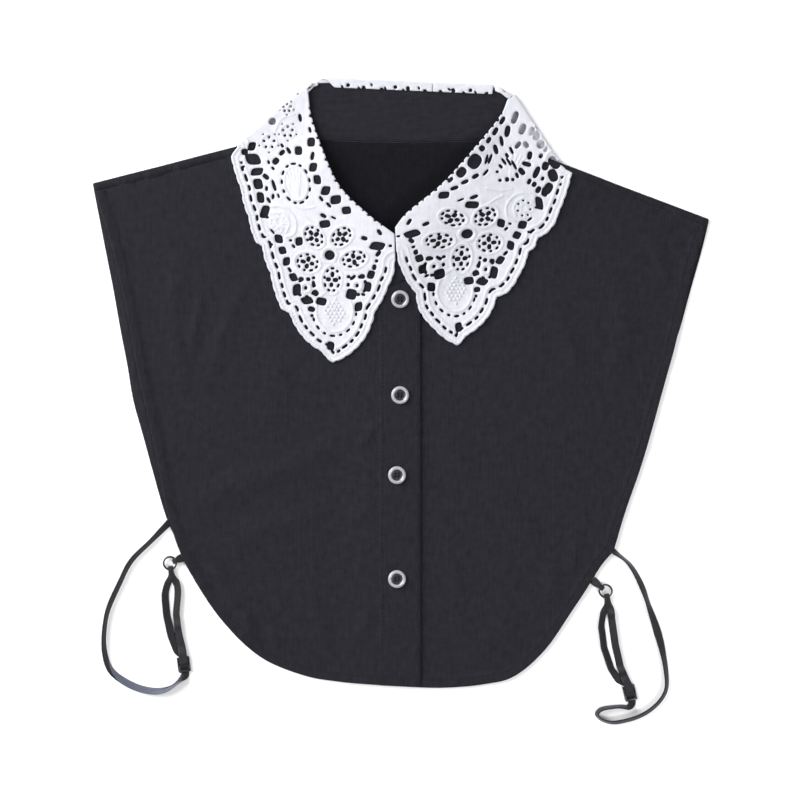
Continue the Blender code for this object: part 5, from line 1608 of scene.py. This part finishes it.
def tube(run, radius, sides, closed=False):
    """A round tube along a run of points, with its ends closed."""
    run = np.array(run, float)
    along = np.gradient(run, axis=0)
    if closed:
        along = np.roll(run, -1, axis=0) - np.roll(run, 1, axis=0)
    along = unit(along)
    side = unit(np.cross(along, (0.0, 0.0, 1.0)))
    over = np.cross(side, along)
    angles = np.arange(sides) * 2 * math.pi / sides
    rings = (run[:, None] + radius * (np.cos(angles)[None, :, None] * side[:, None]
                                      + np.sin(angles)[None, :, None] * over[:, None]))
    faces = ring_faces(len(run), sides, closed).tolist()
    if not closed:
        faces += ring_ends(len(run), sides)
    return rings.reshape(-1, 3), faces


def thread():
    # Spun thread, rounder than the cloth's own threads, so that its rows just show
    return clouded("black spun polyester thread", tuple(settings("cloth").thread),
                   {"Roughness": 0.75, "Specular IOR Level": 0.2}, {"Scale": 1500.0}, 0.8, 1.3)


def pearl():
    # Cast polyester with pearl essence, turned and tumbled: glossy, with soft swirls of light and dark. On
    # the rim only, lighter than the button's smoke grey: a painted highlight
    return clouded("grey pearl polyester", tuple(settings("button").pearl),
                   {"Roughness": 0.22, "Coat Weight": 0.6, "Coat Roughness": 0.08, "IOR": 1.56},
                   {"Scale": 380.0, "Detail": 3.0, "Distortion": 1.2}, 0.55, 1.5, span=(0.3, 0.7))


def smoke():
    # The button's smoke grey, kept in the dish, where the rim around it is painted lighter as a highlight:
    # less polish, faint cloud
    return clouded("smoke-grey pearl polyester", linear("#17171B"), {"Roughness": 0.4, "IOR": 1.56},
                   {"Scale": 500.0, "Detail": 3.0}, 0.6, 1.6)


def round_the_ring(turn_at):
    """How far along and how high the tape's middle is as it turns round the ring's wire."""
    turns = np.radians((-90, -60, -30, 0, 30, 60, 90))
    return [(turn_at + TURN_RADIUS * math.cos(turn), RING_LIFT + TURN_RADIUS * math.sin(turn))
            for turn in turns]


def strap_stations(run, slider, ring, double, root, twist):
    """The strap's centres, the directions across it and its widths, as it lies."""
    ahead, beside, length = headed(slider, ring)
    across = np.array([*beside, 0.0])

    def on_axis(distance, offset, height):
        return np.array([*(slider + ahead * distance + beside * offset), height])

    loose = curve_through([root, *run, slider - ahead * 6.4], STRAP_STEP)
    headings = np.gradient(np.array(loose), axis=0)
    stations = []
    for i, (plan, heading) in enumerate(zip(loose, headings)):
        side = np.array([heading[1], -heading[0], 0.0]) / norm(heading)
        tilt = math.radians(np.interp(i / (len(loose) - 1), *zip(*twist)))
        low = STRAP_WIDE / 2 * abs(math.sin(tilt)) + STRAP_LOW * math.cos(tilt) + STRAP_CLEAR
        held = 1 - smooth(i * STRAP_STEP / 9.0)
        stations.append((np.array([*plan, low + (STRAP_ROOT_HEIGHT - low) * held]),
                         side * math.cos(tilt) + np.array([0, 0, math.sin(tilt)]), STRAP_WIDE))
    over_bar = CENTRE_BAR_TALL + GAP
    for distance in (-4.6, -3.3, -2.5, -1.7, -0.8, 0.8, 1.7, 2.5, 3.3, 4.6):
        lift = over_bar * smooth((3.3 - abs(distance)) / 2.5)
        stations.append((on_axis(distance, 0, STRAP_LOW + lift), across, STRAP_WIDE))

    turn_at = length - TURN_OFF_CENTRE
    offsets = [(5.8 / turn_at, -0.4, 0.4), *double, (1.0, 0.0, 0.0)]
    shares, first_run, second_run = zip(*offsets)
    steps = spaced([(share, 0) for share in (shares[0] + 0.03, 0.985)], STRAP_STEP / length)
    going, coming = [], []
    for share, _ in steps:
        first, second = np.interp(share, shares, first_run), np.interp(share, shares, second_run)
        apart = second - first
        tilt = math.radians(STRAP_EDGEWISE) * smooth((apart - 3.0) / 3.0)
        level = STRAP_LOW * math.cos(tilt) + STRAP_WIDE / 2 * math.sin(tilt)
        stack = STRAP_STACK * (1 - smooth((apart - 5.0) / 0.8))
        on_ring = smooth((share - 0.88) / 0.07)
        on_slider = smooth((0.2 - share) / 0.08)
        wide = STRAP_WIDE + (STRAP_GATHERED - STRAP_WIDE) * smooth((share - 0.85) / 0.1)
        down = np.array([0, 0, math.sin(tilt)])
        raised = max(STRAP_STACK, 2 * TURN_RADIUS * on_ring, (SLIDER_TALL + GAP) * on_slider)
        high = STRAP_LOW + raised if stack > 0.99 * STRAP_STACK else level + stack
        going.append((on_axis(share * turn_at, first, level), across * math.cos(tilt) - down, wide))
        coming.append((on_axis(share * turn_at, second, high), across * math.cos(tilt) + down, wide))
    stations += going
    stations += [(on_axis(reach, 0, height), across, STRAP_GATHERED)
                 for reach, height in round_the_ring(turn_at)]
    stations += coming[::-1]
    top = SLIDER_TALL + GAP + STRAP_LOW
    stations += [(on_axis(distance, 0.2, top), across, STRAP_WIDE) for distance in (4.8, 2.6, 0.6)]
    return stations


def tab_stations(root, ring):
    """The tab's centres, ways across and widths, out from the hem, round the ring and back."""
    ahead, beside, length = headed(root, ring)
    turn_at, top = length - TURN_OFF_CENTRE, RING_LIFT + TURN_RADIUS
    rows = [
        (0, STRAP_LOW, STRAP_WIDE), (turn_at * 0.5, STRAP_LOW, TAB_WIDE),
        (turn_at * 0.8, STRAP_LOW, STRAP_GATHERED),
        *[(reach, height, STRAP_GATHERED) for reach, height in round_the_ring(turn_at)],
        (turn_at * 0.8, top, STRAP_GATHERED), (turn_at * 0.4, (top + TAB_ROOT_HEIGHT) / 2, TAB_WIDE),
        (0, TAB_ROOT_HEIGHT, STRAP_WIDE),
    ]
    return [(np.array([*(root + ahead * distance), height]), [*beside, 0.0], wide)
            for distance, height, wide in rows]


def tape(stations):
    """Flat elastic with rounded edges and two shallow ribs along it, through the stations."""
    rows = [[*centre, *way, wide] for centre, way, wide in stations]
    packed = rounded_run(np.array(rows, float), TAPE_STEPS)
    centres, across, wides = packed[:, :3], unit(packed[:, 3:6]), packed[:, 6]
    normals = unit(np.cross(np.gradient(centres, axis=0), across))
    # Half of the section: share of the half width and of the half thickness
    half = [(1.0, 0.0), (0.95, 0.62), (0.82, 0.9), (0.6, 1.0), (0.42, 0.82), (0.2, 0.96), (0.0, 1.0)]
    section = [*half, *[(-u, v) for u, v in half[-2::-1]]]
    section += [(-u, -v) for u, v in section[1:-1]]
    run = distances_along(centres)
    thick = STRAP_THICK * (0.55 + 0.45 * smooth((run - 5.0) / 4.0))[:, None]
    rings = [
        centres + across * (u * wides / 2)[:, None] + normals * v * thick / 2 for u, v in section
    ]
    points = np.stack(rings, 1).reshape(-1, 3)
    sides = len(section)
    faces = [end[::-1] for end in ring_ends(len(centres), sides)]
    faces += ring_faces(len(centres), sides)[:, [0, 3, 2, 1]].tolist()
    flat = np.stack([np.tile([u * 2.5 for u, _ in section], len(centres)), np.repeat(run, sides)], 1)
    return points, faces, flat, centres


def elastic():
    # Knitted nylon over rubber, brushed: soft blue-grey sheen where it turns, cross ribs 1 mm apart
    return woven("black plush elastic", tuple(settings("strap").elastic), 1.0,
                 {"Roughness": 0.55, "Sheen Weight": 0.35, "Sheen Roughness": 0.35,
                  "Sheen Tint": (0.85, 0.8, 1.0, 1), "Specular IOR Level": 0.3}, relief=0.5, patch=0.15)


def satin_painted_sheen():
    # The knitted side of the same elastic: long smooth floats of yarn, coloured a light slate blue as a
    # painted sheen
    return woven("black elastic, satin face", tuple(settings("strap").satin_painted_sheen), 1.0,
                 {"Roughness": 0.45, "Sheen Weight": 0.5, "Sheen Roughness": 0.3,
                  "Sheen Tint": (0.75, 0.8, 1.0, 1), "Specular IOR Level": 0.5}, relief=0.4, patch=0.15)


def enamel():
    # Pressed steel dipped in nylon: a smooth thick coat, glossy with small sharp glints
    return clouded("black nylon-coated steel", tuple(settings("strap").enamel),
                   {"Roughness": 0.25, "IOR": 1.53}, {"Scale": 700.0, "Detail": 3.0}, 0.7, 1.4,
                   relief=0.12)


# Where the straps are sewn in between the layers, and how they twist: share of the run, degrees
STRAP_ROOT_HEIGHT = 1.15
STRAP_CLEAR = 0.2
STRAP_ROOT_LEFT = (-140.4, -83.7)
STRAP_ROOT_RIGHT = (127.6, -101.6)
TWIST_LEFT = [
    (0, 0), (0.05, 45), (0.13, 62), (0.23, 59), (0.3, 62), (0.39, 59), (0.48, 68), (0.56, 68), (0.63, 58),
    (0.7, 47), (0.76, 38), (0.82, 38), (0.875, 44), (0.91, 62), (0.935, 74), (0.97, 74), (1, 0),
]
TWIST_RIGHT = [
    (0, 0), (0.035, 50), (0.07, 75), (0.12, 58), (0.19, 44), (0.25, 58), (0.36, 8), (0.45, 46), (0.54, 57),
    (0.67, 54), (0.78, 57), (0.84, 70), (0.95, 77), (0.98, 60), (1, 0),
]
# Share of the left strap's loose run that turns its satin face up, painted lighter as a sheen, and the slant
# of that stretch's ends
SATIN_SHEEN_SHARE = 0.7, 0.97
SATIN_SHEEN_SLANT = 3.5
SIDES = [
    ("left", STRAP_LEFT_RUN, SLIDER_LEFT, RING_LEFT, TAB_LEFT, DOUBLE_LEFT, STRAP_ROOT_LEFT, TWIST_LEFT),
    ("right", STRAP_RIGHT_RUN, SLIDER_RIGHT, RING_RIGHT, TAB_RIGHT, DOUBLE_RIGHT, STRAP_ROOT_RIGHT,
     TWIST_RIGHT),
]


class LACECOLLAR_OT_straps(CollarOperator, bpy.types.Operator):
    """Makes the elastic side straps and the tabs that hold their rings"""

    bl_idname = "lace_collar.straps"
    bl_label = "Straps"

    def execute(self, context):
        for side, run, slider, ring, tab, double, root, twist in SIDES:
            stations = strap_stations(run, slider, ring, double, root, twist)
            points, faces, flat, path = tape(stations)
            made = new_piece(f"elastic_{side}", points, faces, elastic(), flat,
                             [f"strap_{side}"])
            # On the left strap the flat stretch takes the lighter satin finish: a painted sheen where the
            # light catches it
            if side == "left":
                loose = distances_along(curve_through([root, *run], 2.0))[-1]
                made.data.materials.append(satin_painted_sheen())
                for face in made.data.polygons:
                    across, along = flat[face.vertices[0]]
                    share = (along - SATIN_SHEEN_SLANT * across) / loose
                    face.material_index = int(SATIN_SHEEN_SHARE[0] < share < SATIN_SHEEN_SHARE[1])
            path = path[::3] * MM
            length = distances_along(path)[-1]
            points, faces, flat, _ = tape(tab_stations(tab, ring))
            new_piece(f"loop_{side}", points, faces, elastic(), flat, [f"tab_{side}"])
        return {"FINISHED"}


class LACECOLLAR_OT_fittings(CollarOperator, bpy.types.Operator):
    """Makes the rings and the sliders of the straps"""

    bl_idname = "lace_collar.fittings"
    bl_label = "Rings and sliders"

    def execute(self, context):
        for side, _, slider, ring, *_ in SIDES:
            self.ring(side, ring)
            self.slider(side, slider, ring)
        return {"FINISHED"}

    def ring(self, side, centre):
        angles = np.arange(64) * 2 * math.pi / 64
        radius = RING_ACROSS / 2 - RING_WIRE
        run = np.c_[centre[0] + radius * np.cos(angles), centre[1] + radius * np.sin(angles),
                    np.full(64, RING_LIFT)]
        points, faces = tube(run, RING_WIRE, 14, closed=True)
        new_piece(f"loop_ring_{side}", points, faces, enamel(), points[:, :2], [f"ring_{side}"])

    def slider(self, side, centre, ring):
        """Two rails and three bars with rounded sides, as closed bars that meet at the rails."""
        ahead, across, _ = headed(centre, ring)
        rail = SLIDER_WIDE / 2 - SLIDER_RAIL / 2
        end = SLIDER_LONG / 2
        bar = end - SLIDER_BAR / 2
        low = STRAP_THICK + GAP
        bars = [
            *[((x, -end), (x, end), SLIDER_RAIL, 0, SLIDER_TALL) for x in (-rail, rail)],
            ((-rail, 0), (rail, 0), SLIDER_BAR, 0.1, CENTRE_BAR_TALL),
            *[((-rail, y), (rail, y), SLIDER_BAR, low, SLIDER_TALL - 0.1) for y in (bar, -bar)],
        ]
        points, faces = joined(
            self.bar(*[centre + across * x + ahead * y for x, y in (first, last)], *section)
            for first, last, *section in bars
        )
        new_piece(f"clasp_{side}", points, faces, enamel(), points[:, :2], [f"slider_{side}"])

    def bar(self, start, end, wide, bottom, top):
        """A bar with rounded edges and ends."""
        along, side, length = headed(start, end)
        middle, tall = (bottom + top) / 2, top - bottom
        sides = 16
        angles = np.arange(sides) * 2 * math.pi / sides
        u = np.sign(np.cos(angles)) * np.abs(np.cos(angles)) ** 0.5
        v = np.sign(np.sin(angles)) * np.abs(np.sin(angles)) ** 0.5
        rings = []
        # Along the bar: where each ring lies and its share of the full section
        ease = [(0, 0.6), (0.15, 0.9), (0.4, 1.0)]
        for at, share in [*ease, *[(length - at, share) for at, share in ease[::-1]]]:
            plan = start + along * at + np.multiply.outer(u * share * wide / 2, side)
            rings.append(np.c_[plan, middle + v * share * tall / 2])
        return np.vstack(rings), [*ring_ends(6, sides), *ring_faces(6, sides).tolist()]


class LACECOLLAR_OT_stage(CollarOperator, bpy.types.Operator):
    """Makes the paper floor, the soft studio light and the camera straight above"""

    bl_idname = "lace_collar.stage"
    bl_label = "Stage"

    def execute(self, context):
        stage = settings("stage")
        scene = context.scene
        camera = bpy.data.cameras.new("camera")
        camera.lens = stage.lens
        camera.sensor_width = 36.0
        camera.clip_end = 20
        seat = bpy.data.objects.new("camera", camera)
        distance = stage.view * camera.lens / camera.sensor_width
        seat.location = (*(MM * VIEW_SCALE * pixels for pixels in VIEW_MIDDLE), distance + COLLAR_LEVEL)
        scene.collection.objects.link(seat)
        scene.camera = seat

        corners = ((-1, -1), (1, -1), (1, 1), (-1, 1))
        mesh = bpy.data.meshes.new("paper")
        mesh.from_pydata([(PAPER_HALF * x, PAPER_HALF * y, PAPER_LEVEL) for x, y in corners], [],
                         [(0, 1, 2, 3)])
        # Matt white paper: no gloss, faint fibre
        mesh.materials.append(clouded("matt white paper", tuple(stage.floor),
                                      {"Roughness": 0.95, "Specular IOR Level": 0.1},
                                      {"Scale": 60.0, "Detail": 4.0}, 0.985, 1.0))
        floor = bpy.data.objects.new("paper", mesh)
        scene.collection.objects.link(floor)

        world = bpy.data.worlds.new("studio")
        world.use_nodes = True
        sky = world.node_tree.nodes["Background"]
        sky.inputs["Color"].default_value = (1.0, 1.0, 1.0, 1)
        sky.inputs["Strength"].default_value = 0.42
        scene.world = world
        scene.view_settings.view_transform = "Standard"
        for name, place, size, power in (
            ("key softbox", (-1.35, 0.75, 0.95), 1.6, 60.0),
            ("fill softbox", (1.1, -0.6, 1.5), 1.3, 9.0),
            ("glint lamp", (0.5, -0.5, 0.75), 0.22, 3.2),
        ):
            lamp = bpy.data.lights.new(name, "AREA")
            lamp.shape = "DISK"
            lamp.size = size
            lamp.energy = power
            holder = bpy.data.objects.new(name, lamp)
            holder.location = place
            holder.rotation_euler = (-Vector(place)).to_track_quat("-Z", "Y").to_euler()
            scene.collection.objects.link(holder)
        return {"FINISHED"}


class LACECOLLAR_PT_panel(bpy.types.Panel):
    """Lists the collar's settings and its pieces"""

    bl_idname = "LACECOLLAR_PT_panel"
    bl_label = "Lace collar"
    bl_space_type = "VIEW_3D"
    bl_region_type = "UI"
    bl_category = "Lace collar"

    def draw(self, context):
        for name, group in SETTINGS.items():
            box = self.layout.box()
            box.label(text=name.capitalize())
            for value in group.__annotations__:
                box.prop(settings(name), value)
        for operator in OPERATORS:
            self.layout.operator(operator.bl_idname)


SETTINGS = {"cloth": ClothSettings, "lace": LaceSettings, "button": ButtonSettings,
            "strap": StrapSettings, "stage": StageSettings}
OPERATORS = [
    LACECOLLAR_OT_stage, LACECOLLAR_OT_fittings, LACECOLLAR_OT_straps, LACECOLLAR_OT_back_panel,
    LACECOLLAR_OT_fronts, LACECOLLAR_OT_stand, LACECOLLAR_OT_lace, LACECOLLAR_OT_buttons,
]


def register():
    for group in (*SETTINGS.values(), *OPERATORS, LACECOLLAR_PT_panel):
        bpy.utils.register_class(group)
    for name, group in SETTINGS.items():
        setattr(bpy.types.Scene, "lace_collar_" + name, bpy.props.PointerProperty(type=group))


def unregister():
    for name in SETTINGS:
        delattr(bpy.types.Scene, "lace_collar_" + name)
    for group in (LACECOLLAR_PT_panel, *OPERATORS[::-1], *SETTINGS.values()):
        bpy.utils.unregister_class(group)


def main():
    register()
    for operator in OPERATORS:
        group, name = operator.bl_idname.split(".")
        getattr(getattr(bpy.ops, group), name)()


if __name__ == "__main__":
    main()
